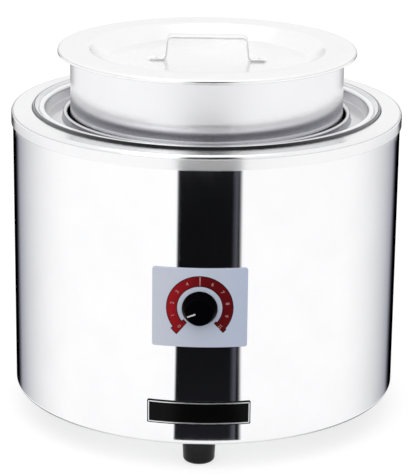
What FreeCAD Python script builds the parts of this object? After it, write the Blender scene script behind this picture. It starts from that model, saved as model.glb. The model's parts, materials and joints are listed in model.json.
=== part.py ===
import FreeCAD
import Part
import math
import os

V = FreeCAD.Vector

# A counter-top soup kettle, in millimetres: +Z is up, the front faces -Y and Z = 0 is the counter.

# Ring widths at the mouth, from the pot's wall out to the skirt
POT_RADIUS = 119.8
WELL_GAP = 2.5
LIP_WIDTH = 5.0
LEDGE_WIDTH = 14.4
FLANGE_WIDTH = 9.2
GROOVE_WIDTH = 2.0
DECK_WIDTH = 18.7

# Heights, from the counter up
FOOT_HEIGHT = 20.8
BODY_HEIGHT = 253.0
HEATER_BAY = 61.0
POT_STANDOUT = 51.2
SKIRT_HEIGHT = 13.0
RECESS_DEPTH = 10.5
LIP_HEIGHT = 2.5
FLANGE_RISE = 0.5
GROOVE_DEPTH = 3.5
SEAL_THICKNESS = 1.0
SEAL_STAND = 2.0

# Sheet thicknesses and fits
SHEET = 1.0
COVER_SHEET = 1.0
BASE_SHEET = 1.2
SEAT_GAP = 0.1
REST_GAP = 0.3
COVER_GAP = 0.4
RUNNING_GAP = 0.05
BEND = 1.5
HOLE_GAP = 0.3
SEAL_EDGE = 0.8
BAND_EDGE = 0.4

# Shell and base plate
SHELL_BEND = 3.0
BASE_INSET = 9.0
BOTTOM_FLANGE = 36.0
TOP_FLANGE_GAP = 2.4
VENT_COUNT = 12
VENT_INSET = 62.0
VENT_LENGTH = 26.0
VENT_WIDTH = 5.0

# Well floor, with the raised ring that the pot stands on
FLOOR_BEND = 10.0
REST_INSET = 33.0
REST_WIDTH = 9.0
REST_HEIGHT = 6.0
REST_SLOPE = 2.0

# Pot and lid
POT_BEND = 9.0
POT_NECK_BEND = 2.5
POT_RIM_BEND = 0.5
POT_RIM_WIDTH = 9.2
POT_RIM_DROP = 2.2
LID_FIT = 0.8
LID_RIM_DROP = 4.0
LID_BEND = 1.5
LID_DISH_BEND = 4.0
LID_DISH_INSET = 16.5
LID_DISH_DEPTH = 11.5
LID_DISH_SLOPE = 14.0

# Strap handle of the lid
HANDLE_SPAN = 71.0
HANDLE_HEIGHT = 21.5
HANDLE_WIDTH = 15.0
HANDLE_STRAP = 2.0
HANDLE_FOOT = 15.0
HANDLE_LEAN = 2.0
HANDLE_BEND = 3.0
RIVET_RADIUS = 2.4
RIVET_HEAD_RADIUS = 4.2
RIVET_HEAD_HEIGHT = 1.6

# Control on the front
KNOB_HEIGHT = 122.7
KNOB_RADIUS = 15.0
KNOB_FACE_RADIUS = 11.3
KNOB_DEPTH = 11.5
KNOB_WALL = 2.5
KNOB_HOLLOW = 8.0
KNOB_BOSS_RADIUS = 6.0
KNOB_EDGE = 0.8
KNOB_GAP = 0.7
POINTER_ANGLE = 249.0
POINTER_START = 3.4
POINTER_END = 10.6
POINTER_WIDTH = 1.2
POINTER_DEPTH = 0.6
SHAFT_RADIUS = 3.0
SHAFT_FLAT = 2.0
SHAFT_FLAT_LENGTH = 7.0
SHAFT_GRIP = 8.0
DIAL_WIDTH = 79.5
DIAL_HEIGHT = 68.5
DIAL_CORNER = 2.0
PLATE_SHEET = 0.8
PLATE_GAP = 0.3
NAME_WIDTH = 87.5
NAME_HEIGHT = 20.5
NAME_CORNER = 1.0
NAME_RAISE = 29.4
NAME_LINE_INSET = 0.9
NAME_LINE_WIDTH = 0.9
NAME_LINE_HEIGHT = 0.3

# Thermostat behind the knob
BRACKET_STANDOFF = 13.0
BRACKET_SHEET = 1.2
BRACKET_WIDTH = 56.0
BRACKET_HEIGHT = 44.0
BRACKET_FLANGE = 12.0
THERMOSTAT_WIDTH = 40.0
THERMOSTAT_DEPTH = 18.0
THERMOSTAT_HEIGHT = 38.0
THERMOSTAT_CORNER = 3.0
BUSH_RADIUS = 5.0
BUSH_LENGTH = 4.0
SHAFT_SEAT = 8.0
THERMOSTAT_SCREW_SPACING = 28.0
TAB_WIDTH = 6.3
TAB_SHEET = 0.8
TAB_LENGTH = 8.0
TAB_SPACING = 16.0
BULB_RADIUS = 3.0
BULB_LENGTH = 60.0
BULB_ANGLE = 20.0
BULB_LEAD = 13.0
CAPILLARY_RADIUS = 0.8
CAPILLARY_BEND = 6.0
CAPILLARY_RISE = 16.0
CLIP_SHEET = 0.8
CLIP_HEIGHT = 12.0
CLIP_FLANGE = 6.0

# Heater under the well
ELEMENT_INSET = 20.0
ELEMENT_RADIUS = 4.0
ELEMENT_GAP_ANGLE = 50.0
ELEMENT_BEND = 9.0
COLD_END_RAISE = 24.0
CLAMP_SHEET = 2.0
CLAMP_OVERHANG = 10.0
CLAMP_RIM = 5.0
SHIELD_OVERHANG = 16.0
SHIELD_RIM = 6.0
SHIELD_HOLE_GAP = 2.0
ROD_RADIUS = 4.0
ROD_NUT_WIDTH = 13.0
ROD_NUT_HEIGHT = 6.5
ROD_OVERHANG = 1.5
CUTOUT_RADIUS = 6.5
CUTOUT_HEIGHT = 10.0
CUTOUT_ANGLE = 205.0
CUTOUT_BUTTON_RADIUS = 2.0
CUTOUT_BUTTON_HEIGHT = 4.0
CUTOUT_TAB_SPACING = 8.0
CUTOUT_TAB_WIDTH = 4.8

# Insulation round the well
BLANKET_THICKNESS = 18.0
BLANKET_WINDOW = 64.0
BLANKET_LOWER_INSET = 12.0
BLANKET_UPPER_INSET = 6.0

# Feet and their screws
FOOT_INSET = 23.2
FOOT_TOP_RADIUS = 14.4
FOOT_BOTTOM_RADIUS = 13.4
FOOT_EDGE = 3.6
FOOT_BORE_RADIUS = 4.75
FOOT_BORE_DEPTH = 11.0
SCREW_RADIUS = 2.0
SCREW_HEAD_RADIUS = 3.8
SCREW_HEAD_HEIGHT = 2.6
NUT_WIDTH = 7.0
NUT_HEIGHT = 3.2
SCREW_OVERHANG = 1.5
FOOT_NAMES = ("front", "rear_right", "rear_left")
FRONT_FOOT_ANGLE = 270.0

# Mains side, inside the base
BLOCK_X = -52.0
BLOCK_SETBACK = 22.0
BLOCK_LENGTH = 42.0
BLOCK_DEPTH = 18.0
BLOCK_HEIGHT = 20.0
BLOCK_POLES = 3
BLOCK_PITCH = 14.0
BLOCK_BORE_RADIUS = 2.2
BLOCK_SCREW_RADIUS = 1.8
BLOCK_SCREW_HEIGHT = 3.0
EARTH_X = 10.0
EARTH_SETBACK = 34.0
EARTH_HEIGHT = 14.0
LUG_RADIUS = 5.0
LUG_SHEET = 1.0
WIRE_RADIUS = 1.3
WIRE_BEND = 5.0
WIRE_LAYER = 12.0
GLAND_RAISE = 28.0
GLAND_BORE_RADIUS = 4.5
GLAND_NECK_RADIUS = 8.0
GLAND_FLANGE_RADIUS = 12.0
GLAND_FLANGE_DEPTH = 6.0
GLAND_NOSE_RADIUS = 8.5
GLAND_NOSE_DEPTH = 7.2
GLAND_NUT_WIDTH = 22.0
GLAND_NUT_DEPTH = 5.0
GLAND_OVERHANG = 2.0

# Radii that follow from the widths
WELL_RADIUS = POT_RADIUS + WELL_GAP
LIP_RADIUS = WELL_RADIUS + LIP_WIDTH
RECESS_RADIUS = LIP_RADIUS + LEDGE_WIDTH
FLANGE_RADIUS = RECESS_RADIUS + FLANGE_WIDTH
GROOVE_RADIUS = FLANGE_RADIUS + GROOVE_WIDTH
COVER_RADIUS = GROOVE_RADIUS + DECK_WIDTH
SHELL_RADIUS = COVER_RADIUS - COVER_SHEET - COVER_GAP
SHELL_INSIDE = SHELL_RADIUS - SHEET
PLATE_INSIDE = SHELL_RADIUS + PLATE_GAP
PLATE_OUTSIDE = PLATE_INSIDE + PLATE_SHEET
BASE_RADIUS = SHELL_RADIUS - BASE_INSET
FOOT_CIRCLE = SHELL_RADIUS - FOOT_INSET
VENT_CIRCLE = SHELL_RADIUS - VENT_INSET
REST_CIRCLE = WELL_RADIUS - REST_INSET
ELEMENT_CIRCLE = REST_CIRCLE - ELEMENT_INSET
POT_RIM_RADIUS = POT_RADIUS + POT_RIM_WIDTH
LID_RADIUS = POT_RIM_RADIUS + LID_FIT + SHEET
LID_DISH_RADIUS = POT_RADIUS - LID_DISH_INSET

# Levels that follow from the heights
SHELL_Z = FOOT_HEIGHT + BASE_SHEET
DECK_Z = SHELL_Z + BODY_HEIGHT
SHELL_TOP_Z = DECK_Z - COVER_SHEET - SEAT_GAP
SEAT_Z = DECK_Z - GROOVE_DEPTH
LEDGE_Z = DECK_Z - RECESS_DEPTH
FLOOR_UNDER_Z = SHELL_Z + HEATER_BAY
FLOOR_Z = FLOOR_UNDER_Z + SHEET
POT_Z = FLOOR_Z + REST_HEIGHT + REST_GAP
POT_RIM_Z = DECK_Z + POT_STANDOUT
LID_Z = POT_RIM_Z + REST_GAP + SHEET
LID_FLOOR_Z = LID_Z - LID_DISH_DEPTH
KNOB_Z = SHELL_Z + KNOB_HEIGHT
NAME_Z = SHELL_Z + NAME_RAISE
ELEMENT_Z = FLOOR_UNDER_Z - REST_GAP - ELEMENT_RADIUS
CLAMP_Z = ELEMENT_Z - ELEMENT_RADIUS - SEAT_GAP
CLAMP_UNDER_Z = CLAMP_Z - CLAMP_SHEET
SHIELD_Z = CLAMP_UNDER_Z - ROD_NUT_HEIGHT
SHIELD_UNDER_Z = SHIELD_Z - SHEET
COLD_END_Z = SHELL_Z + COLD_END_RAISE
WIRE_Z = SHELL_Z + WIRE_LAYER

# Front-to-back places of the control, on the middle plane
KNOB_BACK_Y = -(PLATE_OUTSIDE + KNOB_GAP)
BRACKET_FRONT_Y = -(SHELL_INSIDE - BRACKET_STANDOFF)
THERMOSTAT_FRONT_Y = BRACKET_FRONT_Y + BRACKET_SHEET
THERMOSTAT_MID_Y = THERMOSTAT_FRONT_Y + THERMOSTAT_DEPTH / 2
THERMOSTAT_TAB_Z = KNOB_Z - THERMOSTAT_HEIGHT / 2 - TAB_LENGTH

# Places of the cut-out, the terminal block and the earth stud
CUTOUT_CIRCLE = (REST_CIRCLE + REST_WIDTH / 2 + REST_SLOPE + WELL_RADIUS - FLOOR_BEND) / 2
CUTOUT_X = CUTOUT_CIRCLE * math.cos(math.radians(CUTOUT_ANGLE))
CUTOUT_Y = CUTOUT_CIRCLE * math.sin(math.radians(CUTOUT_ANGLE))
CUTOUT_TAB_Z = FLOOR_UNDER_Z - CUTOUT_HEIGHT - TAB_LENGTH
BLOCK_Y = ELEMENT_CIRCLE + BLOCK_SETBACK
EARTH_Y = ELEMENT_CIRCLE + EARTH_SETBACK


def rounded_run(points, radii):
    """Edges of an open run through the points, each inner corner turned by its own radius or left sharp."""
    edges = []
    last = points[0]
    for before, corner, after, radius in zip(points, points[1:], points[2:], radii):
        if radius == 0:
            edges.append(Part.LineSegment(last, corner).toShape())
            last = corner
            continue
        arrive = (corner - before).normalize()
        leave = (after - corner).normalize()
        half = arrive.getAngle(leave) / 2
        reach = radius * math.tan(half)
        start = corner - arrive * reach
        end = corner + leave * reach
        inward = (leave - arrive).normalize()
        middle = corner + inward * (radius / math.cos(half) - radius)
        edges.append(Part.LineSegment(last, start).toShape())
        edges.append(Part.Arc(start, middle, end).toShape())
        last = end
    edges.append(Part.LineSegment(last, points[-1]).toShape())
    return edges


def sheet_face(outline, bends, thickness):
    """Section of a bent sheet in the XZ plane: its face follows the outline and its metal lies to the left.

    The bends are the radii inside each bend, and a bend of zero is a sharp fold.
    """
    corners = [V(x, 0, z) for x, z in outline]
    ways = [(after - before).normalize() for before, after in zip(corners, corners[1:])]
    lefts = [V(-way.z, 0, way.x) for way in ways]
    back = [corners[0] + lefts[0] * thickness]
    face_radii = []
    back_radii = []
    for i in range(1, len(corners) - 1):
        shift = (lefts[i - 1] + lefts[i]) * (thickness / (1 + lefts[i - 1].dot(lefts[i])))
        back.append(corners[i] + shift)
        inside = bends[i - 1]
        outside = inside + thickness if inside else 0
        turns_left = lefts[i - 1].dot(ways[i]) > 0
        face_radii.append(outside if turns_left else inside)
        back_radii.append(inside if turns_left else outside)
    back.append(corners[-1] + lefts[-1] * thickness)
    edges = rounded_run(corners, face_radii) + rounded_run(back, back_radii)
    edges.append(Part.LineSegment(corners[0], back[0]).toShape())
    edges.append(Part.LineSegment(corners[-1], back[-1]).toShape())
    return Part.Face(Part.Wire(Part.__sortEdges__(edges)))


def turned(face):
    """Solid of revolution about the Z axis."""
    return face.revolve(V(0, 0, 0), V(0, 0, 1), 360)


def turned_outline(outline):
    """Solid of revolution of a closed straight-sided outline in the XZ plane."""
    points = [V(x, 0, z) for x, z in outline]
    return turned(Part.Face(Part.makePolygon(points + points[:1])))


def ring(inner, outer, bottom, height):
    """Flat ring, or a disc where the inner radius is zero."""
    disc = Part.makeCylinder(outer, height, V(0, 0, bottom))
    if inner == 0:
        return disc
    return disc.cut(Part.makeCylinder(inner, height, V(0, 0, bottom)))


def crowned_ring(inner, outer, bottom, height, edge_radius):
    """Flat ring with both of its upper edges rounded."""
    blank = ring(inner, outer, bottom, height)
    crests = [edge for edge in blank.Edges if edge.BoundBox.ZMin > bottom + height / 2]
    return blank.makeFillet(edge_radius, crests)


def box(width, depth, height, centre):
    """Box about its centre point."""
    corner = centre - V(width / 2, depth / 2, height / 2)
    return Part.makeBox(width, depth, height, corner)


def rod(radius, start, end):
    """Straight round rod between two points."""
    return Part.makeCylinder(radius, (end - start).Length, start, end - start)


def tube(points, bend, radius):
    """Round bar along straight runs joined by tangent arcs."""
    path = Part.Wire(rounded_run(points, [bend] * (len(points) - 2)))
    circle = Part.Circle(points[0], points[1] - points[0], radius).toShape()
    return path.makePipeShell([Part.Wire(circle)], True, False)


def hex_prism(width, bore, height, bottom):
    """Hexagon nut on the Z axis, by its width across flats."""
    reach = width / math.sqrt(3)
    corners = []
    for step in range(7):
        angle = math.radians(60 * step)
        corners.append(V(reach * math.cos(angle), reach * math.sin(angle), bottom))
    prism = Part.Face(Part.makePolygon(corners)).extrude(V(0, 0, height))
    return prism.cut(Part.makeCylinder(bore, height, V(0, 0, bottom)))


def moved(shape, x, y, z):
    """Copy of a shape, shifted."""
    copy = shape.copy()
    copy.translate(V(x, y, z))
    return copy


def facing_front(shape, y, z):
    """Copy of a shape whose Z axis is turned to face the front, at a place on the middle plane."""
    copy = shape.copy()
    copy.rotate(V(0, 0, 0), V(1, 0, 0), 90)
    copy.translate(V(0, y, z))
    return copy


def round_cutter(radius, y_start, y_end, x, z):
    """Round bar from front to back."""
    return rod(radius, V(x, y_start, z), V(x, y_end, z))


def rounded_panel(width, height, corner, inside, thickness, level):
    """Plate with rounded corners, rolled to a cylinder on the front; the width is measured flat."""
    reach = width / (2 * inside)
    half = inside * math.sin(reach)
    blank = box(2 * half, inside, height, V(0, -inside, level))
    upright = [edge for edge in blank.Edges if is_along(edge, V(0, 1, 0))]
    blank = blank.makeFillet(corner, upright)
    skin = ring(inside, inside + thickness, level - height, 2 * height)
    return skin.common(blank)


def is_along(edge, way):
    """Whether an edge is straight and runs along a direction."""
    ends = edge.Vertexes
    if len(ends) < 2 or not isinstance(edge.Curve, Part.Line):
        return False
    return abs((ends[1].Point - ends[0].Point).normalize().dot(way)) > 0.999


def foot_places():
    """Centre points of the three feet at counter level."""
    places = {}
    for index, name in enumerate(FOOT_NAMES):
        turn = math.radians(FRONT_FOOT_ANGLE + 360 * index / len(FOOT_NAMES))
        places[name] = V(FOOT_CIRCLE * math.cos(turn), FOOT_CIRCLE * math.sin(turn), 0)
    return places


def cold_end(side):
    """Place of one of the element's two cold ends, in plan."""
    turn = math.radians(90 + side * ELEMENT_GAP_ANGLE / 2)
    way = V(-math.sin(turn), math.cos(turn), 0) * -side
    return V(ELEMENT_CIRCLE * math.cos(turn), ELEMENT_CIRCLE * math.sin(turn), 0) + way * ELEMENT_BEND


def outer_shell():
    """Rolled body with both edges turned in, pierced for the shaft, the gland and the foot screws."""
    outline = [
        (SHELL_RADIUS - BOTTOM_FLANGE, SHELL_Z),
        (SHELL_RADIUS, SHELL_Z),
        (SHELL_RADIUS, SHELL_TOP_Z),
        (GROOVE_RADIUS + COVER_SHEET + TOP_FLANGE_GAP, SHELL_TOP_Z),
    ]
    shell = turned(sheet_face(outline, [SHELL_BEND, SHELL_BEND], SHEET))
    shell = shell.cut(round_cutter(SHAFT_RADIUS + 2 * SHEET, -COVER_RADIUS, 0, 0, KNOB_Z))
    gland_z = SHELL_Z + GLAND_RAISE
    shell = shell.cut(round_cutter(GLAND_NECK_RADIUS + HOLE_GAP, 0, COVER_RADIUS, 0, gland_z))
    return shell.cut(foot_holes())


def foot_holes():
    """Cutters for the foot screws, through flange and base plate."""
    cutters = []
    for place in foot_places().values():
        cutters.append(rod(SCREW_RADIUS + HOLE_GAP, place, place + V(0, 0, SHELL_Z + 2 * SHEET)))
    return cutters


def top_cover():
    """Pressed deck ring: a skirt outside the shell and a sunk seat for the well's flange."""
    outline = [
        (COVER_RADIUS, DECK_Z - SKIRT_HEIGHT),
        (COVER_RADIUS, DECK_Z),
        (GROOVE_RADIUS, DECK_Z),
        (GROOVE_RADIUS, SEAT_Z),
        (RECESS_RADIUS + SHEET + 2 * BEND, SEAT_Z),
    ]
    return turned(sheet_face(outline, [SHELL_BEND, 0, 0], COVER_SHEET))


def well_pan():
    """Pressed water well: flange, recess, ledge, raised lip, deep wall and a floor with a rest ring."""
    flange_z = SEAT_Z + SEAL_THICKNESS + SHEET
    crown_z = DECK_Z + FLANGE_RISE
    lip_z = LEDGE_Z + LIP_HEIGHT
    rest_out = REST_CIRCLE + REST_WIDTH / 2
    rest_in = REST_CIRCLE - REST_WIDTH / 2
    rest_z = FLOOR_Z + REST_HEIGHT
    outline = [
        (FLANGE_RADIUS, flange_z),
        (FLANGE_RADIUS - 0.3 * FLANGE_WIDTH, flange_z),
        (FLANGE_RADIUS - 0.45 * FLANGE_WIDTH, crown_z),
        (RECESS_RADIUS, crown_z),
        (RECESS_RADIUS, LEDGE_Z),
        (LIP_RADIUS, LEDGE_Z),
        (LIP_RADIUS - 0.25 * LIP_WIDTH, lip_z),
        (WELL_RADIUS, lip_z),
        (WELL_RADIUS, FLOOR_Z),
        (rest_out + REST_SLOPE, FLOOR_Z),
        (rest_out, rest_z),
        (rest_in, rest_z),
        (rest_in - REST_SLOPE, FLOOR_Z),
        (0, FLOOR_Z),
    ]
    bends = [0, 0, BEND, 0, 0, 0, BEND, FLOOR_BEND, 0, 0, 0, 0]
    return turned(sheet_face(outline, bends, SHEET))


def well_seal():
    """Gasket on the cover's seat: flat under the well's flange, with a bead that stands up in the groove."""
    inner = FLANGE_RADIUS - 0.3 * FLANGE_WIDTH
    outer = GROOVE_RADIUS - SEAT_GAP
    pad = ring(inner, outer, SEAT_Z, SEAL_THICKNESS)
    bead = crowned_ring(FLANGE_RADIUS + SEAT_GAP, outer, SEAT_Z, GROOVE_DEPTH + SEAL_STAND, SEAL_EDGE)
    return pad.fuse(bead).removeSplitter()


def seal_band():
    """Band that stands on the well's flange and backs the gasket's bead from inside."""
    bottom = SEAT_Z + SEAL_THICKNESS + SHEET + SEAT_GAP
    height = DECK_Z + SEAL_STAND - bottom
    return crowned_ring(FLANGE_RADIUS - SHEET, FLANGE_RADIUS, bottom, height, BAND_EDGE)


def insulation_blanket():
    """Mineral wool round the well, open at the front where the thermostat sits."""
    inside = WELL_RADIUS + SHEET + REST_GAP
    bottom = FLOOR_Z + BLANKET_LOWER_INSET
    height = LEDGE_Z - SHEET - BLANKET_UPPER_INSET - bottom
    outside = inside + BLANKET_THICKNESS
    corners = [(inside, bottom), (outside, bottom), (outside, bottom + height), (inside, bottom + height)]
    points = [V(x, 0, z) for x, z in corners]
    face = Part.Face(Part.makePolygon(points + points[:1]))
    face.rotate(V(0, 0, 0), V(0, 0, 1), BLANKET_WINDOW / 2 - 90)
    return face.revolve(V(0, 0, 0), V(0, 0, 1), 360 - BLANKET_WINDOW)


def heating_element():
    """Tubular ring under the well floor, with two cold ends that turn straight down."""
    turn = ELEMENT_GAP_ANGLE / 2
    level = V(0, 0, ELEMENT_Z)
    start = math.radians(90 + turn)
    end = math.radians(90 - turn + 360)
    middle = (start + end) / 2
    on_ring = [V(math.cos(a), math.sin(a), 0) * ELEMENT_CIRCLE + level for a in (start, middle, end)]
    edges = []
    for side, point in ((1, on_ring[0]), (-1, on_ring[2])):
        foot = cold_end(side)
        elbow = V(foot.x, foot.y, ELEMENT_Z)
        low = elbow - V(0, 0, ELEMENT_BEND)
        centre = point - V(0, 0, ELEMENT_BEND)
        bulge = ((elbow + point) * 0.5 - centre).normalize() * ELEMENT_BEND + centre
        down = V(foot.x, foot.y, COLD_END_Z)
        edges.append(Part.LineSegment(down, low).toShape())
        edges.append(Part.Arc(low, bulge, point).toShape())
    edges.append(Part.Arc(*on_ring).toShape())
    path = Part.Wire(Part.__sortEdges__(edges))
    first = path.OrderedVertexes[0].Point
    circle = Part.Circle(first, V(0, 0, 1), ELEMENT_RADIUS).toShape()
    return path.makePipeShell([Part.Wire(circle)], True, True)


def element_clamp():
    """Pressed plate that holds the ring up, notched at the back for the cold ends."""
    reach = ELEMENT_CIRCLE + CLAMP_OVERHANG
    outline = [
        (reach, CLAMP_Z - CLAMP_RIM),
        (reach, CLAMP_Z),
        (ROD_RADIUS + HOLE_GAP, CLAMP_Z),
    ]
    plate = turned(sheet_face(outline, [0], CLAMP_SHEET))
    turn = math.radians(ELEMENT_GAP_ANGLE / 2)
    half = ELEMENT_CIRCLE * math.sin(turn) + ELEMENT_RADIUS
    start_y = ELEMENT_CIRCLE * math.cos(turn) - ELEMENT_RADIUS - SHIELD_HOLE_GAP
    notch = Part.makeBox(2 * half, reach, 2 * CLAMP_RIM + CLAMP_SHEET)
    return plate.cut(moved(notch, -half, start_y, CLAMP_Z - 2 * CLAMP_RIM))


def heat_shield():
    """Dished plate under the clamp, with holes for the cold ends."""
    reach = ELEMENT_CIRCLE + SHIELD_OVERHANG
    outline = [
        (ROD_RADIUS + HOLE_GAP, SHIELD_UNDER_Z),
        (reach, SHIELD_UNDER_Z),
        (reach, SHIELD_UNDER_Z + SHIELD_RIM),
    ]
    dish = turned(sheet_face(outline, [0], SHEET))
    for side in (1, -1):
        foot = cold_end(side)
        low = V(foot.x, foot.y, COLD_END_Z)
        high = V(foot.x, foot.y, ELEMENT_Z)
        dish = dish.cut(rod(ELEMENT_RADIUS + SHIELD_HOLE_GAP, low, high))
    return dish


def tie_rod():
    """Stud under the middle of the well floor that draws the clamp, shield and base together."""
    bottom = FOOT_HEIGHT - ROD_NUT_HEIGHT - ROD_OVERHANG
    return Part.makeCylinder(ROD_RADIUS, FLOOR_UNDER_Z - bottom, V(0, 0, bottom))


def tie_nuts():
    """Nuts on the stud: under the clamp, under the shield, and on both sides of the base plate."""
    levels = [
        CLAMP_UNDER_Z - ROD_NUT_HEIGHT,
        SHIELD_UNDER_Z - ROD_NUT_HEIGHT,
        SHELL_Z,
        FOOT_HEIGHT - ROD_NUT_HEIGHT,
    ]
    bore = ROD_RADIUS + RUNNING_GAP
    nuts = [hex_prism(ROD_NUT_WIDTH, bore, ROD_NUT_HEIGHT, level) for level in levels]
    return Part.makeCompound(nuts)


def base_plate():
    """Bottom plate under the shell's flange, with a ring of vent slots."""
    plate = ring(ROD_RADIUS + HOLE_GAP, BASE_RADIUS, FOOT_HEIGHT, BASE_SHEET)
    slots = []
    straight = VENT_LENGTH - VENT_WIDTH
    for index in range(VENT_COUNT):
        slot = box(VENT_WIDTH, straight, 3 * BASE_SHEET, V(VENT_CIRCLE, 0, SHELL_Z))
        for end in (-straight / 2, straight / 2):
            foot = V(VENT_CIRCLE, end, SHELL_Z - 1.5 * BASE_SHEET)
            slot = slot.fuse(Part.makeCylinder(VENT_WIDTH / 2, 3 * BASE_SHEET, foot))
        slot.rotate(V(0, 0, 0), V(0, 0, 1), 360 * index / VENT_COUNT)
        slots.append(slot)
    return plate.cut(slots + foot_holes())


def foot(place):
    """Tapered rubber foot with a rounded tread and a bore for its screw."""
    outline = [
        V(FOOT_BORE_RADIUS, 0, 0),
        V(FOOT_BOTTOM_RADIUS, 0, 0),
        V(FOOT_TOP_RADIUS, 0, FOOT_HEIGHT),
        V(SCREW_RADIUS + HOLE_GAP, 0, FOOT_HEIGHT),
        V(SCREW_RADIUS + HOLE_GAP, 0, FOOT_BORE_DEPTH),
        V(FOOT_BORE_RADIUS, 0, FOOT_BORE_DEPTH),
    ]
    edges = rounded_run(outline[:3], [FOOT_EDGE])
    edges += Part.makePolygon(outline[2:] + outline[:1]).Edges
    body = turned(Part.Face(Part.Wire(Part.__sortEdges__(edges))))
    return moved(body, place.x, place.y, 0)


def foot_screws():
    """Pan-head screws, one up through each foot."""
    screws = []
    end = SHELL_Z + SHEET + NUT_HEIGHT + SCREW_OVERHANG
    for place in foot_places().values():
        seat = place + V(0, 0, FOOT_BORE_DEPTH)
        head = rod(SCREW_HEAD_RADIUS, seat - V(0, 0, SCREW_HEAD_HEIGHT), seat)
        shank = rod(SCREW_RADIUS, seat, place + V(0, 0, end))
        screws.append(head.fuse(shank))
    return Part.makeCompound(screws)


def foot_nuts():
    """Nuts of the foot screws, on the shell's bottom flange."""
    nut = hex_prism(NUT_WIDTH, SCREW_RADIUS + RUNNING_GAP, NUT_HEIGHT, SHELL_Z + SHEET)
    return Part.makeCompound([moved(nut, place.x, place.y, 0) for place in foot_places().values()])


def thermostat_bracket():
    """Hat-shaped bracket inside the shell that carries the thermostat."""
    reach = SHELL_INSIDE - SEAT_GAP
    half = BRACKET_WIDTH / 2
    low = KNOB_Z - BRACKET_HEIGHT
    inside = ring(0, reach, low, 2 * BRACKET_HEIGHT)
    skin = ring(reach - BRACKET_SHEET, reach, low, 2 * BRACKET_HEIGHT)
    web_mid = BRACKET_FRONT_Y + BRACKET_SHEET / 2
    bracket = box(BRACKET_WIDTH, BRACKET_SHEET, BRACKET_HEIGHT, V(0, web_mid, KNOB_Z))
    for side in (-1, 1):
        leg_mid = V(side * (half - BRACKET_SHEET / 2), BRACKET_FRONT_Y - BRACKET_STANDOFF / 2, KNOB_Z)
        leg = box(BRACKET_SHEET, BRACKET_STANDOFF, BRACKET_HEIGHT, leg_mid)
        pad_mid = V(side * (half - BRACKET_SHEET + BRACKET_FLANGE / 2), -reach, KNOB_Z)
        pad = box(BRACKET_FLANGE, reach, BRACKET_HEIGHT, pad_mid)
        bracket = bracket.fuse([leg.common(inside), skin.common(pad)])
    back = THERMOSTAT_FRONT_Y + BRACKET_SHEET
    bracket = bracket.cut(round_cutter(BUSH_RADIUS + HOLE_GAP, -reach, back, 0, KNOB_Z))
    for x in (-THERMOSTAT_SCREW_SPACING / 2, THERMOSTAT_SCREW_SPACING / 2):
        bracket = bracket.cut(round_cutter(SCREW_RADIUS + HOLE_GAP, -reach, back, x, KNOB_Z))
    return bracket.removeSplitter()


def thermostat_body():
    """Capillary thermostat: moulded case, front bush for the shaft and two terminal tabs below."""
    case = box(THERMOSTAT_WIDTH, THERMOSTAT_DEPTH, THERMOSTAT_HEIGHT, V(0, THERMOSTAT_MID_Y, KNOB_Z))
    upright = [edge for edge in case.Edges if is_along(edge, V(0, 1, 0))]
    case = case.makeFillet(THERMOSTAT_CORNER, upright)
    bush = round_cutter(BUSH_RADIUS, THERMOSTAT_FRONT_Y - BUSH_LENGTH, THERMOSTAT_FRONT_Y, 0, KNOB_Z)
    case = case.fuse(bush)
    for x in (-TAB_SPACING / 2, TAB_SPACING / 2):
        tab_mid = V(x, THERMOSTAT_MID_Y, THERMOSTAT_TAB_Z + TAB_LENGTH / 2)
        case = case.fuse(box(TAB_WIDTH, TAB_SHEET, TAB_LENGTH, tab_mid))
    seat_y = THERMOSTAT_FRONT_Y + SHAFT_SEAT
    front_y = THERMOSTAT_FRONT_Y - BUSH_LENGTH
    case = case.cut(round_cutter(SHAFT_RADIUS + RUNNING_GAP, front_y, seat_y, 0, KNOB_Z))
    for x in (-THERMOSTAT_SCREW_SPACING / 2, THERMOSTAT_SCREW_SPACING / 2):
        case = case.cut(round_cutter(SCREW_RADIUS + RUNNING_GAP, front_y, seat_y, x, KNOB_Z))
    return case.removeSplitter()


def thermostat_screws():
    """Two screws that hold the thermostat to the bracket's web."""
    screws = []
    head_y = BRACKET_FRONT_Y - SCREW_HEAD_HEIGHT
    end_y = THERMOSTAT_FRONT_Y + SHAFT_SEAT - REST_GAP
    for x in (-THERMOSTAT_SCREW_SPACING / 2, THERMOSTAT_SCREW_SPACING / 2):
        shank = round_cutter(SCREW_RADIUS, BRACKET_FRONT_Y, end_y, x, KNOB_Z)
        head = round_cutter(SCREW_HEAD_RADIUS, head_y, BRACKET_FRONT_Y, x, KNOB_Z)
        screws.append(shank.fuse(head))
    return Part.makeCompound(screws)


def shaft_end(clearance, length):
    """D-shaped end of the shaft on the Z axis, grown by a clearance."""
    bar = Part.makeCylinder(SHAFT_RADIUS + clearance, length)
    side = 2 * (SHAFT_RADIUS + clearance)
    return bar.cut(Part.makeBox(side, side, length, V(-side / 2, SHAFT_FLAT + clearance, 0)))


def thermostat_shaft():
    """Spindle from the thermostat's bush to the knob, with a flat for the knob's bore."""
    start_y = THERMOSTAT_FRONT_Y + SHAFT_SEAT - REST_GAP
    end_y = KNOB_BACK_Y - SHAFT_GRIP
    shoulder_y = end_y + SHAFT_FLAT_LENGTH
    shank = round_cutter(SHAFT_RADIUS, shoulder_y, start_y, 0, KNOB_Z)
    return shank.fuse(facing_front(shaft_end(0, SHAFT_FLAT_LENGTH), shoulder_y, KNOB_Z)).removeSplitter()


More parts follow.
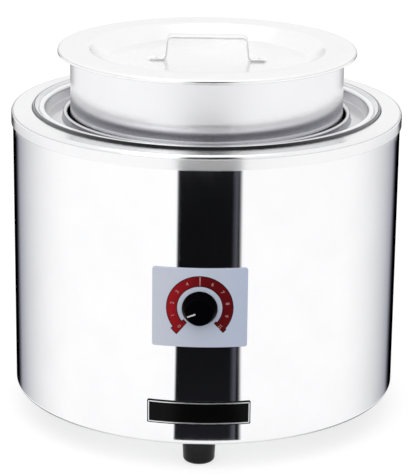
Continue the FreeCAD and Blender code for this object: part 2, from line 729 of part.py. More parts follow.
def control_knob():
    """Tapered knob, hollow behind round a boss with a D-shaped bore, with a slot for the pointer."""
    taper = (KNOB_RADIUS - KNOB_FACE_RADIUS) / KNOB_DEPTH
    hollow_radius = KNOB_RADIUS - KNOB_WALL
    outer = [
        V(KNOB_RADIUS, 0, 0),
        V(KNOB_FACE_RADIUS, 0, KNOB_DEPTH),
        V(0, 0, KNOB_DEPTH),
    ]
    inner = [
        V(0, 0, KNOB_DEPTH),
        V(0, 0, 0),
        V(KNOB_BOSS_RADIUS, 0, 0),
        V(KNOB_BOSS_RADIUS, 0, KNOB_HOLLOW),
        V(hollow_radius - taper * KNOB_HOLLOW, 0, KNOB_HOLLOW),
        V(hollow_radius, 0, 0),
        V(KNOB_RADIUS, 0, 0),
    ]
    edges = rounded_run(outer, [KNOB_EDGE]) + Part.makePolygon(inner).Edges
    knob = turned(Part.Face(Part.Wire(Part.__sortEdges__(edges))))
    flat_start = SHAFT_GRIP - SHAFT_FLAT_LENGTH
    knob = knob.cut(Part.makeCylinder(SHAFT_RADIUS + RUNNING_GAP, flat_start))
    grip = shaft_end(RUNNING_GAP, SHAFT_FLAT_LENGTH + REST_GAP)
    knob = knob.cut(moved(grip, 0, 0, flat_start))
    knob = knob.cut(pointer_bar(RUNNING_GAP))
    return facing_front(knob, KNOB_BACK_Y, KNOB_Z)


def pointer_bar(clearance):
    """Pointer line in the knob's face, lying from near the middle to near the edge."""
    length = POINTER_END - POINTER_START + 2 * clearance
    width = POINTER_WIDTH + 2 * clearance
    depth = POINTER_DEPTH + clearance
    bar = Part.makeBox(width, length, depth, V(-width / 2, POINTER_START - clearance, KNOB_DEPTH - depth))
    bar.rotate(V(0, 0, 0), V(0, 0, 1), -POINTER_ANGLE)
    return bar


def knob_pointer():
    """White inlaid line that shows where the knob is set."""
    return facing_front(pointer_bar(0), KNOB_BACK_Y, KNOB_Z)


def dial_plate():
    """Thin plate behind the knob, rolled to the shell."""
    plate = rounded_panel(DIAL_WIDTH, DIAL_HEIGHT, DIAL_CORNER, PLATE_INSIDE, PLATE_SHEET, KNOB_Z)
    return plate.cut(round_cutter(SHAFT_RADIUS + 2 * SHEET, -2 * PLATE_OUTSIDE, 0, 0, KNOB_Z))


def name_plate():
    """Bare plate low on the front, rolled to the shell, with a fine raised line inside its edge."""
    line_sheet = PLATE_SHEET + NAME_LINE_HEIGHT
    line = name_panel(NAME_LINE_INSET, line_sheet)
    line = line.cut(name_panel(NAME_LINE_INSET + NAME_LINE_WIDTH, line_sheet))
    return name_panel(0, PLATE_SHEET).fuse(line).removeSplitter()


def name_panel(inset, thickness):
    """Panel of the name plate's outline, drawn in by an inset."""
    width = NAME_WIDTH - 2 * inset
    height = NAME_HEIGHT - 2 * inset
    return rounded_panel(width, height, NAME_CORNER, PLATE_INSIDE, thickness, NAME_Z)


def thermostat_bulb():
    """Sensing bulb against the well's wall, and the capillary that leads to the thermostat."""
    centre = bulb_centre()
    high = centre + V(0, 0, KNOB_Z + BULB_LEAD)
    low = high - V(0, 0, BULB_LENGTH)
    bulb = rod(BULB_RADIUS, low, high)
    over = high.z + CAPILLARY_RISE
    side_x = -THERMOSTAT_WIDTH / 2 - SEAT_GAP
    run = [
        high,
        V(centre.x, centre.y, over),
        V(centre.x, THERMOSTAT_MID_Y, over),
        V(centre.x, THERMOSTAT_MID_Y, KNOB_Z),
        V(side_x, THERMOSTAT_MID_Y, KNOB_Z),
    ]
    return bulb.fuse(tube(run, CAPILLARY_BEND, CAPILLARY_RADIUS))


def bulb_centre():
    """Middle of the bulb in plan, beside the thermostat and just clear of the well's wall."""
    turn = math.radians(270 - BULB_ANGLE)
    reach = WELL_RADIUS + SHEET + REST_GAP + BULB_RADIUS
    return V(reach * math.cos(turn), reach * math.sin(turn), 0)


def bulb_clip():
    """Spring clip over the bulb, with two flat wings against the well's wall."""
    bore = BULB_RADIUS + RUNNING_GAP
    outside = bore + CLIP_SHEET
    seat = -(BULB_RADIUS + REST_GAP - SEAT_GAP)
    span = 2 * (outside + CLIP_FLANGE)
    arch = Part.makeCylinder(outside, CLIP_HEIGHT)
    arch = arch.fuse(Part.makeBox(2 * outside, -seat, CLIP_HEIGHT, V(-outside, seat, 0)))
    arch = arch.fuse(Part.makeBox(span, CLIP_SHEET, CLIP_HEIGHT, V(-span / 2, seat, 0)))
    arch = arch.cut(Part.makeCylinder(bore, CLIP_HEIGHT))
    arch = arch.cut(Part.makeBox(2 * bore, -2 * seat, CLIP_HEIGHT, V(-bore, 2 * seat, 0)))
    arch = arch.removeSplitter()
    arch.rotate(V(0, 0, 0), V(0, 0, 1), 180 - BULB_ANGLE)
    centre = bulb_centre()
    level = KNOB_Z + BULB_LEAD - (BULB_LENGTH + CLIP_HEIGHT) / 2
    return moved(arch, centre.x, centre.y, level)


def thermal_cutout():
    """Dry-boil limiter against the well floor, with a reset button and two tabs below."""
    low = FLOOR_UNDER_Z - CUTOUT_HEIGHT
    body = Part.makeCylinder(CUTOUT_RADIUS, CUTOUT_HEIGHT, V(CUTOUT_X, CUTOUT_Y, low))
    button_low = V(CUTOUT_X, CUTOUT_Y, low - CUTOUT_BUTTON_HEIGHT)
    body = body.fuse(Part.makeCylinder(CUTOUT_BUTTON_RADIUS, CUTOUT_BUTTON_HEIGHT, button_low))
    for x in (-CUTOUT_TAB_SPACING / 2, CUTOUT_TAB_SPACING / 2):
        tab_mid = V(CUTOUT_X + x, CUTOUT_Y, CUTOUT_TAB_Z + TAB_LENGTH / 2)
        body = body.fuse(box(TAB_SHEET, CUTOUT_TAB_WIDTH, TAB_LENGTH, tab_mid))
    return body.removeSplitter()


def pole_x(index):
    """Side-to-side place of a pole of the terminal block."""
    return BLOCK_X + (index - (BLOCK_POLES - 1) / 2) * BLOCK_PITCH


def terminal_block():
    """Moulded mains terminal block on the base plate, one bore and two screw wells to a pole."""
    middle = SHELL_Z + BLOCK_HEIGHT / 2
    block = box(BLOCK_LENGTH, BLOCK_DEPTH, BLOCK_HEIGHT, V(BLOCK_X, BLOCK_Y, middle))
    front = BLOCK_Y - BLOCK_DEPTH / 2
    back = BLOCK_Y + BLOCK_DEPTH / 2
    for index in range(BLOCK_POLES):
        block = block.cut(round_cutter(BLOCK_BORE_RADIUS, front, back, pole_x(index), WIRE_Z))
        for y in block_screw_ys():
            foot = V(pole_x(index), y, SHELL_Z + BLOCK_HEIGHT - BLOCK_SCREW_HEIGHT)
            block = block.cut(Part.makeCylinder(BLOCK_SCREW_RADIUS + HOLE_GAP, BLOCK_SCREW_HEIGHT, foot))
    return block


def block_screw_ys():
    """Front and back rows of the terminal screws."""
    return (BLOCK_Y - BLOCK_DEPTH / 4, BLOCK_Y + BLOCK_DEPTH / 4)


def terminal_screws():
    """Clamp screws in the terminal block's wells."""
    screws = []
    level = SHELL_Z + BLOCK_HEIGHT - BLOCK_SCREW_HEIGHT
    for index in range(BLOCK_POLES):
        for y in block_screw_ys():
            height = BLOCK_SCREW_HEIGHT - SEAT_GAP
            screws.append(Part.makeCylinder(BLOCK_SCREW_RADIUS, height, V(pole_x(index), y, level)))
    return Part.makeCompound(screws)


def earth_terminal():
    """Earth stud on the base plate, with its lug between two nuts."""
    stud = Part.makeCylinder(SCREW_RADIUS, EARTH_HEIGHT, V(EARTH_X, EARTH_Y, SHELL_Z))
    for level in (SHELL_Z, WIRE_Z + LUG_SHEET / 2):
        stud = stud.fuse(moved(hex_prism(NUT_WIDTH, SCREW_RADIUS, NUT_HEIGHT, level), EARTH_X, EARTH_Y, 0))
    lug = Part.makeCylinder(LUG_RADIUS, LUG_SHEET, V(EARTH_X, EARTH_Y, WIRE_Z - LUG_SHEET / 2))
    return stud.fuse(lug).removeSplitter()


def lead_wires():
    """Leads from the block through cut-out and thermostat to the element, and the earth lead."""
    start_y = BLOCK_Y - BLOCK_DEPTH / 2 - REST_GAP
    upper_z = WIRE_Z + 4 * WIRE_RADIUS
    left_end = cold_end(1)
    right_end = cold_end(-1)
    cold_z = COLD_END_Z - REST_GAP
    tab_z = THERMOSTAT_TAB_Z - REST_GAP
    cut_z = CUTOUT_TAB_Z - REST_GAP
    cut_near = CUTOUT_X + CUTOUT_TAB_SPACING / 2
    cut_far = CUTOUT_X - CUTOUT_TAB_SPACING / 2
    tab_left = -TAB_SPACING / 2
    tab_right = TAB_SPACING / 2
    bypass_x = 2 * ROD_NUT_WIDTH + abs(right_end.x)
    earth_end = EARTH_Y - LUG_RADIUS - REST_GAP
    earth_turn_y = start_y - WIRE_BEND - WIRE_RADIUS
    routes = [
        [
            V(pole_x(0), start_y, WIRE_Z),
            V(pole_x(0), CUTOUT_Y, WIRE_Z),
            V(cut_near, CUTOUT_Y, WIRE_Z),
            V(cut_near, CUTOUT_Y, cut_z),
        ],
        [
            V(cut_far, CUTOUT_Y, cut_z),
            V(cut_far, CUTOUT_Y, upper_z),
            V(tab_left, THERMOSTAT_MID_Y, upper_z),
            V(tab_left, THERMOSTAT_MID_Y, tab_z),
        ],
        [
            V(tab_right, THERMOSTAT_MID_Y, tab_z),
            V(tab_right, THERMOSTAT_MID_Y, WIRE_Z),
            V(bypass_x, 0, WIRE_Z),
            V(right_end.x, right_end.y, WIRE_Z),
            V(right_end.x, right_end.y, cold_z),
        ],
        [
            V(pole_x(1), start_y, WIRE_Z),
            V(pole_x(1), left_end.y, WIRE_Z),
            V(left_end.x, left_end.y, WIRE_Z),
            V(left_end.x, left_end.y, cold_z),
        ],
        [
            V(pole_x(2), start_y, WIRE_Z),
            V(pole_x(2), earth_turn_y, WIRE_Z),
            V(EARTH_X, earth_turn_y, WIRE_Z),
            V(EARTH_X, earth_end, WIRE_Z),
        ],
    ]
    return Part.makeCompound([tube(route, WIRE_BEND, WIRE_RADIUS) for route in routes])


def cord_gland():
    """Mains inlet at the back: a neck through the shell, a flange and a tapered nose, bored through."""
    neck_start = SHELL_INSIDE - gland_sagitta() - GLAND_NUT_DEPTH - GLAND_OVERHANG
    flange_start = SHELL_RADIUS + SEAT_GAP
    nose_start = flange_start + GLAND_FLANGE_DEPTH
    nose_end = nose_start + GLAND_NOSE_DEPTH
    outline = [
        (GLAND_BORE_RADIUS, neck_start),
        (GLAND_NECK_RADIUS, neck_start),
        (GLAND_NECK_RADIUS, flange_start),
        (GLAND_FLANGE_RADIUS, flange_start),
        (GLAND_FLANGE_RADIUS, nose_start),
        (GLAND_NOSE_RADIUS, nose_end),
        (GLAND_BORE_RADIUS, nose_end),
    ]
    return facing_back(turned_outline(outline))


def gland_sagitta():
    """How far the shell's inside falls back from flat across the gland's nut, with room to spare."""
    half = GLAND_NUT_WIDTH / math.sqrt(3)
    return SHELL_INSIDE - math.sqrt(SHELL_INSIDE ** 2 - half ** 2) + SEAT_GAP


def gland_nut():
    """Hexagon nut of the gland, inside the shell."""
    start = SHELL_INSIDE - gland_sagitta() - GLAND_NUT_DEPTH
    nut = hex_prism(GLAND_NUT_WIDTH, GLAND_NECK_RADIUS + RUNNING_GAP, GLAND_NUT_DEPTH, start)
    return facing_back(nut)


def facing_back(shape):
    """Copy of a shape whose Z axis is turned to point out of the back, at the gland's level."""
    copy = shape.copy()
    copy.rotate(V(0, 0, 0), V(1, 0, 0), -90)
    copy.translate(V(0, 0, SHELL_Z + GLAND_RAISE))
    return copy


def soup_pot():
    """Deep-drawn pot: flat base, straight wall and a wide rim with a turned-down edge."""
    inside = POT_RADIUS - SHEET
    outline = [
        (POT_RIM_RADIUS, POT_RIM_Z - POT_RIM_DROP),
        (POT_RIM_RADIUS, POT_RIM_Z),
        (inside, POT_RIM_Z),
        (inside, POT_Z + SHEET),
        (0, POT_Z + SHEET),
    ]
    return turned(sheet_face(outline, [POT_RIM_BEND, POT_NECK_BEND, POT_BEND], SHEET))


def lid():
    """Flat lid with a turned-down rim and a dished middle."""
    outline = [
        (LID_RADIUS, LID_Z - LID_RIM_DROP),
        (LID_RADIUS, LID_Z),
        (LID_DISH_RADIUS, LID_Z),
        (LID_DISH_RADIUS - LID_DISH_SLOPE, LID_FLOOR_Z),
        (0, LID_FLOOR_Z),
    ]
    plate = turned(sheet_face(outline, [LID_BEND, LID_DISH_BEND, LID_DISH_BEND], SHEET))
    return plate.cut(rivet_holes())


def rivet_xs():
    """Side-to-side places of the two rivets, in the middle of the handle's feet."""
    reach = HANDLE_SPAN / 2 + HANDLE_STRAP + HANDLE_FOOT / 2
    return (-reach, reach)


def rivet_holes():
    """Cutters for the rivets, through the handle's feet and the lid."""
    cutters = []
    for x in rivet_xs():
        low = V(x, 0, LID_FLOOR_Z - 2 * SHEET)
        high = V(x, 0, LID_FLOOR_Z + 2 * HANDLE_STRAP)
        cutters.append(rod(RIVET_RADIUS + RUNNING_GAP, low, high))
    return cutters


def lid_handle():
    """Bent strap handle standing in the lid's dish."""
    foot_x = HANDLE_SPAN / 2 + HANDLE_STRAP + HANDLE_FOOT
    grip_z = LID_FLOOR_Z + HANDLE_HEIGHT - HANDLE_STRAP
    outline = [
        (-foot_x, LID_FLOOR_Z),
        (-HANDLE_SPAN / 2, LID_FLOOR_Z),
        (-HANDLE_SPAN / 2 + HANDLE_LEAN, grip_z),
        (HANDLE_SPAN / 2 - HANDLE_LEAN, grip_z),
        (HANDLE_SPAN / 2, LID_FLOOR_Z),
        (foot_x, LID_FLOOR_Z),
    ]
    strap = sheet_face(outline, [HANDLE_BEND] * 4, HANDLE_STRAP).extrude(V(0, HANDLE_WIDTH, 0))
    strap.translate(V(0, -HANDLE_WIDTH / 2, 0))
    return strap.cut(rivet_holes())


def handle_rivets():
    """Rivets of the handle: a low round head above each foot and a flat head under the lid."""
    rivets = []
    for x in rivet_xs():
        top = LID_FLOOR_Z + HANDLE_STRAP
        under = LID_FLOOR_Z - SHEET
        shank = rod(RIVET_RADIUS, V(x, 0, under), V(x, 0, top))
        face_radius = RIVET_HEAD_RADIUS - RIVET_HEAD_HEIGHT
        head = Part.makeCone(RIVET_HEAD_RADIUS, face_radius, RIVET_HEAD_HEIGHT, V(x, 0, top))
        tail = rod(RIVET_HEAD_RADIUS, V(x, 0, under - RIVET_HEAD_HEIGHT / 2), V(x, 0, under))
        rivets.append(shank.fuse([head, tail]))
    return Part.makeCompound(rivets)


PIECES = [
    outer_shell, top_cover, well_pan, well_seal, seal_band, insulation_blanket,
    heating_element, element_clamp, heat_shield, tie_rod, tie_nuts, base_plate,
    foot_screws, foot_nuts,
    thermostat_bracket, thermostat_body, thermostat_screws, thermostat_shaft,
    control_knob, knob_pointer, dial_plate, name_plate,
    thermostat_bulb, bulb_clip, thermal_cutout,
    terminal_block, terminal_screws, earth_terminal, lead_wires, cord_gland, gland_nut,
    soup_pot, lid, lid_handle, handle_rivets,
]


def main():
    """Write one STEP file for each piece."""
    os.makedirs("parts", exist_ok=True)
    for piece in PIECES:
        piece().exportStep("parts/" + piece.__name__ + ".step")
    for name, place in foot_places().items():
        foot(place).exportStep("parts/foot_" + name + ".step")


main()
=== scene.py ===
"""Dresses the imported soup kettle: fine surfaces for its pressings, its print, its finishes and its stage."""
import json
import logging
import math
from dataclasses import dataclass, field
from enum import Enum, IntEnum

import bmesh
import bpy
import numpy as np
from mathutils import Matrix, Vector

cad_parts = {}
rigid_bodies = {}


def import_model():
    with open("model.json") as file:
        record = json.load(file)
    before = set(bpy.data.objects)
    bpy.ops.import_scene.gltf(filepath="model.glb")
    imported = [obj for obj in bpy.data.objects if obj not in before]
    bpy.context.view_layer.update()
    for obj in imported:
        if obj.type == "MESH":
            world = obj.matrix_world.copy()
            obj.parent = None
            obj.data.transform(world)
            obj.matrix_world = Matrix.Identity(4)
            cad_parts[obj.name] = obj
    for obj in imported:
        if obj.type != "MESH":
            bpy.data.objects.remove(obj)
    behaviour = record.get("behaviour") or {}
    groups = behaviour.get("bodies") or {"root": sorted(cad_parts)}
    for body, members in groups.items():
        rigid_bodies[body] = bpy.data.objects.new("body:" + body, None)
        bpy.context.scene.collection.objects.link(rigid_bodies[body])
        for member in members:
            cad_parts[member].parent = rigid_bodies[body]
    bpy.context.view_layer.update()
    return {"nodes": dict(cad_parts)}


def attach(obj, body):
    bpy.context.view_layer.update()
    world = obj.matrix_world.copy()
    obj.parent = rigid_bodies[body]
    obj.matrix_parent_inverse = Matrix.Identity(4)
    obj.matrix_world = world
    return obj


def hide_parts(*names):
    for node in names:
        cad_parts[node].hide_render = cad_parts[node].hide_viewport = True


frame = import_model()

MM = 0.001
TURN_STEPS = 288
ARC_STEPS = 8
HEM_STEPS = 9
MERGE_GAP = 1e-7
CREASE = math.radians(38.0)
UNTURNED = np.eye(3)
LOG = logging.getLogger("soup_kettle")

Span = tuple[float, float]
Place = tuple[float, float, float]
Colour = tuple[float, float, float]
Corners = tuple[Span, ...]
Row = tuple[float, ...]
Grid = np.ndarray | float
Socket = bpy.types.NodeSocket


class Body(Enum):
    """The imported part's moving groups."""

    KETTLE = "kettle_body"
    CONTROL = "control"
    POT = "pot_assembly"
    LID = "lid_assembly"


class Grain(Enum):
    """Which way the fine lines of a metal finish run."""

    UPRIGHT = "upright"
    ROUND = "round"
    ALONG = "along"
    LOOSE = "loose"


class Coat(IntEnum):
    """The dial's coats of print, from the plate outwards."""

    EDGE = 1
    ARC = 2
    MARKS = 3


@dataclass
class Section:
    """A cut through a turned piece: radius and height of its points, and the way out of the metal there."""

    points: np.ndarray
    normals: np.ndarray
    closed: bool


@dataclass
class Surface:
    """A surface worked out in millimetres: points, faces and, where they are known, exact normals."""

    points: np.ndarray
    faces: list[np.ndarray]
    normals: np.ndarray | None = None

    def moved(self, place: Place, turn: np.ndarray = UNTURNED) -> "Surface":
        """The surface turned by a 3 x 3 matrix and then shifted.

        Args:
            place: Shift in millimetres.
            turn: Rotation matrix.

        Returns:
            A new surface.
        """
        normals = None if self.normals is None else self.normals @ turn.T
        return Surface(self.points @ turn.T + np.asarray(place), self.faces, normals)

    def thing(self, name: str) -> bpy.types.Object:
        """Makes the surface an object at the origin, with sharp creases where there are no exact normals.

        Args:
            name: The object's name.

        Returns:
            The linked object.
        """
        mesh = bpy.data.meshes.new(name)
        mesh.from_pydata((self.points * MM).tolist(), [], sum((block.tolist() for block in self.faces), []))
        mesh.shade_smooth()
        if self.normals is None:
            close_up(mesh)
            mesh.set_sharp_from_angle(angle=CREASE)
        else:
            mesh.normals_split_custom_set_from_vertices(unit(self.normals).tolist())
        return linked(name, mesh)


def linked(name: str, data: bpy.types.ID) -> bpy.types.Object:
    """A new object of the scene that holds the data."""
    made = bpy.data.objects.new(name, data)
    bpy.context.scene.collection.objects.link(made)
    return made


def close_up(mesh: bpy.types.Mesh) -> None:
    """Merges the points that a pole or seam holds twice, and turns all faces outwards."""
    work = bmesh.new()
    work.from_mesh(mesh)
    bmesh.ops.remove_doubles(work, verts=work.verts, dist=MERGE_GAP)
    bmesh.ops.recalc_face_normals(work, faces=work.faces)
    work.to_mesh(mesh)
    work.free()
    mesh.shade_smooth()


def joined(surfaces: list[Surface]) -> Surface:
    """Several surfaces as one: points one after the other, faces counted on, and normals where all have them."""
    starts = np.cumsum([0] + [len(each.points) for each in surfaces])
    faces = [block + start for each, start in zip(surfaces, starts) for block in each.faces]
    known = all(each.normals is not None for each in surfaces)
    normals = np.concatenate([each.normals for each in surfaces]) if known else None
    return Surface(np.concatenate([each.points for each in surfaces]), faces, normals)


def unit(rows: np.ndarray) -> np.ndarray:
    """Rows of vectors, each brought to length one."""
    return rows / np.linalg.norm(rows, axis=-1, keepdims=True)


def right_of(ways: np.ndarray) -> np.ndarray:
    """The directions that lie to the right of the ways, in the plane of a section."""
    return np.stack([ways[..., 1], -ways[..., 0]], axis=-1)


def cross(before: np.ndarray, after: np.ndarray) -> np.ndarray:
    """Cross product of rows of flat vectors: positive where the way turns left."""
    return before[:, 0] * after[:, 1] - before[:, 1] * after[:, 0]


def smooth_step(values: np.ndarray, low: float, high: float) -> np.ndarray:
    """Zero at low, one at high, and 3 t t - 2 t t t between them."""
    share = np.clip((values - low) / (high - low), 0.0, 1.0)
    return share * share * (3.0 - 2.0 * share)


def rounded(corners: np.ndarray, radii: np.ndarray) -> tuple[np.ndarray, np.ndarray]:
    """Path through corners, with each inner corner turned on an arc.

    Formula: the arc leaves the straight run r tan(turn / 2) before the corner. After a share of its turn it has
    gone r sin(share) along the run and r (1 - cos(share)) towards the side that it turns to.

    Args:
        corners: Corner points, one a row.
        radii: Arc radius at each inner corner.

    Returns:
        The path's points and the way it runs at each of them.
    """
    runs = unit(np.diff(corners, axis=0))
    before, after = runs[:-1], runs[1:]
    turn = np.arctan2(cross(before, after), (before * after).sum(axis=1))
    start = corners[1:-1] - before * (radii * np.tan(np.abs(turn) / 2))[:, None]
    swing = (np.abs(turn)[:, None] * np.linspace(0.0, 1.0, ARC_STEPS))[..., None]
    side = (-right_of(before) * np.sign(turn)[:, None])[:, None]
    ahead = before[:, None]
    reach = radii[:, None, None]
    arcs = start[:, None] + reach * (np.sin(swing) * ahead + (1.0 - np.cos(swing)) * side)
    ways = np.cos(swing) * ahead + np.sin(swing) * side
    points = np.concatenate([corners[:1], arcs.reshape(-1, 2), corners[-1:]])
    return points, np.concatenate([runs[:1], ways.reshape(-1, 2), runs[-1:]])


def hem(start: np.ndarray, end: np.ndarray, way: np.ndarray) -> tuple[np.ndarray, np.ndarray]:
    """Half round that closes a sheet's cut edge.

    Formula: middle + half the thickness times (cos to the start, sin along the way out) over half a turn.

    Args:
        start: Point where the half round begins.
        end: Point where it ends, one sheet thickness away.
        way: Unit direction out of the edge.

    Returns:
        The points between the two, and the normals there.
    """
    swing = np.linspace(0.0, math.pi, HEM_STEPS)[1:-1, None]
    half = (start - end) / 2
    normals = np.cos(swing) * unit(half) + np.sin(swing) * way
    return (start + end) / 2 + normals * np.linalg.norm(half), normals


def sheet(outline: Corners, bends: Row, thickness: float, to_axis: bool = False) -> Section:
    """Section of a pressed sheet that follows an outline, with the metal to the left of its way.

    Formula: the outline with its corners rounded, the same shifted left by the thickness, and half rounds at
    the cut edges. The bend radius is the one on the inside of each bend.

    Args:
        outline: Corner points as (radius, height) in millimetres.
        bends: Inside bend radius at each inner corner.
        thickness: Sheet thickness.
        to_axis: Whether the outline ends on the axis, where the sheet has no edge.

    Returns:
        The section.
    """
    corners = np.array(outline, float)
    inside = np.array(bends, float)
    runs = unit(np.diff(corners, axis=0))
    corners[0] += runs[0] * thickness / 2
    corners[-1] -= runs[-1] * (0.0 if to_axis else thickness / 2)
    lefts = -right_of(runs)
    mitre = (lefts[:-1] + lefts[1:]) / (1.0 + (lefts[:-1] * lefts[1:]).sum(axis=1, keepdims=True))
    shift = thickness * np.concatenate([lefts[:1], mitre, lefts[-1:]])
    outside = np.where(cross(runs[:-1], runs[1:]) > 0, thickness, 0.0)
    face, face_ways = rounded(corners, inside + outside)
    back, back_ways = rounded(corners + shift, inside + thickness - outside)
    back, back_normals = back[::-1], -right_of(back_ways)[::-1]
    first, first_normals = hem(back[-1], face[0], -runs[0])
    if to_axis:
        points = [back, first, face]
        normals = [back_normals, first_normals, right_of(face_ways)]
    else:
        last, last_normals = hem(face[-1], back[0], runs[-1])
        points = [face, last, back, first]
        normals = [right_of(face_ways), last_normals, back_normals, first_normals]
    return Section(np.concatenate(points), np.concatenate(normals), not to_axis)


def solid(outline: Corners, bends: Row, closed: bool = False) -> Section:
    """Section of a turned solid, with the solid to the left of its outline and every corner rounded.

    Args:
        outline: Corner points as (radius, height); a closed one starts and ends inside the same straight run.
        bends: Radius at each inner corner.
        closed: Whether the outline is a ring that stays clear of the axis.

    Returns:
        The section.
    """
    points, ways = rounded(np.array(outline, float), np.array(bends, float))
    count = len(points) - closed
    return Section(points[:count], right_of(ways)[:count], closed)


def grid_faces(rows: int, columns: int, wrap_rows: bool, wrap_columns: bool) -> np.ndarray:
    """Four-sided faces of a grid of points that are counted row by row."""
    row = np.arange(rows if wrap_rows else rows - 1)[:, None]
    column = np.arange(columns if wrap_columns else columns - 1)[None]
    below, beside = (row + 1) % rows, (column + 1) % columns
    around = [row * columns + column, below * columns + column, below * columns + beside, row * columns + beside]
    return np.stack(np.broadcast_arrays(*around), axis=-1).reshape(-1, 4)


def turned(section: Section, steps: int = TURN_STEPS) -> Surface:
    """Section carried round the Z axis.

    Formula: the point (r, z) at turn t is (r cos t, r sin t, z), and its normal turns with it. A section that
    ends on the axis closes there in a fan of triangles.

    Args:
        section: The section.
        steps: Places round the axis.

    Returns:
        The surface, with exact normals.
    """
    angles = np.linspace(0.0, 2 * math.pi, steps, endpoint=False)[:, None]

    def around(rows: np.ndarray) -> np.ndarray:
        """Rows of (r, z) at every place round the axis."""
        spread = [rows[:, 0] * np.cos(angles), rows[:, 0] * np.sin(angles), rows[:, 1] + 0.0 * angles]
        return np.stack(spread, axis=-1).reshape(-1, 3)

    count = len(section.points)
    if section.closed:
        return Surface(around(section.points), [grid_faces(steps, count, True, True)], around(section.normals))
    ring = np.arange(steps) * (count - 2)
    following = np.roll(ring, -1)
    first, last = np.full(steps, steps * (count - 2)), np.full(steps, steps * (count - 2) + 1)
    end = count - 3
    faces = [
        grid_faces(steps, count - 2, True, False),
        np.stack([first, following, ring], axis=-1),
        np.stack([ring + end, following + end, last], axis=-1),
    ]
    ends = [0, -1]
    poles = np.stack([np.zeros(2), np.zeros(2), section.points[ends, 1]], axis=-1)
    pole_normals = np.stack([np.zeros(2), np.zeros(2), np.sign(section.normals[ends, 1])], axis=-1)
    points = np.concatenate([around(section.points[1:-1]), poles])
    return Surface(points, faces, np.concatenate([around(section.normals[1:-1]), pole_normals]))


def carried(stations: np.ndarray) -> Surface:
    """Closed loop carried along a path, flat at both ends.

    Args:
        stations: Loop points at each place of the path, as places x points x 3.

    Returns:
        The closed surface.
    """
    places, count = stations.shape[:2]
    loop = np.arange(count)[None]
    faces = [grid_faces(places, count, False, True), loop[:, ::-1], loop + (places - 1) * count]
    return Surface(stations.reshape(-1, 3), faces)


def lathe_turn(way: Place) -> np.ndarray:
    """Rotation matrix that takes the lathe's Z axis to a direction."""
    return np.array(Vector((0, 0, 1)).rotation_difference(Vector(way)).to_matrix())


class Nodes:
    """A node tree being built."""

    def __init__(self, tree: bpy.types.NodeTree) -> None:
        """Keeps the tree to add to."""
        self.tree = tree

    def add(self, kind: str, inputs: dict | None = None, **settings: object) -> bpy.types.Node:
        """Adds a node.

        Args:
            kind: The node's type, without its prefix.
            inputs: Value or feeding socket for each of its inputs.
            settings: Its own settings.

        Returns:
            The node.
        """
        node = self.tree.nodes.new("ShaderNode" + kind)
        for key, value in settings.items():
            setattr(node, key, value)
        for key, value in (inputs or {}).items():
            self.feed(node.inputs[key], value)
        return node

    def feed(self, socket: Socket, value: object) -> None:
        """Links a socket to another one, or sets its value."""
        if isinstance(value, Socket):
            self.tree.links.new(value, socket)
        else:
            socket.default_value = value

    def sum(self, way: str, first: object, second: object = 0.0) -> Socket:
        """Result of a sum on two numbers."""
        return self.add("Math", {0: first, 1: second}, operation=way).outputs[0]

    def ramp(self, value: Socket, low: float, high: float, start: float = 0.0, end: float = 1.0) -> Socket:
        """Start where a value is low, end where it is high, and even between them."""
        return self.add("MapRange", {0: value, 1: low, 2: high, 3: start, 4: end}).outputs[0]

    def seen(self) -> Socket:
        """One for rays that show the background: straight to the eye, mirrored or through glass."""
        path = self.add("LightPath").outputs
        mirrored = self.sum("MAXIMUM", path["Is Camera Ray"], path["Is Glossy Ray"])
        return self.sum("MAXIMUM", mirrored, path["Is Transmission Ray"])


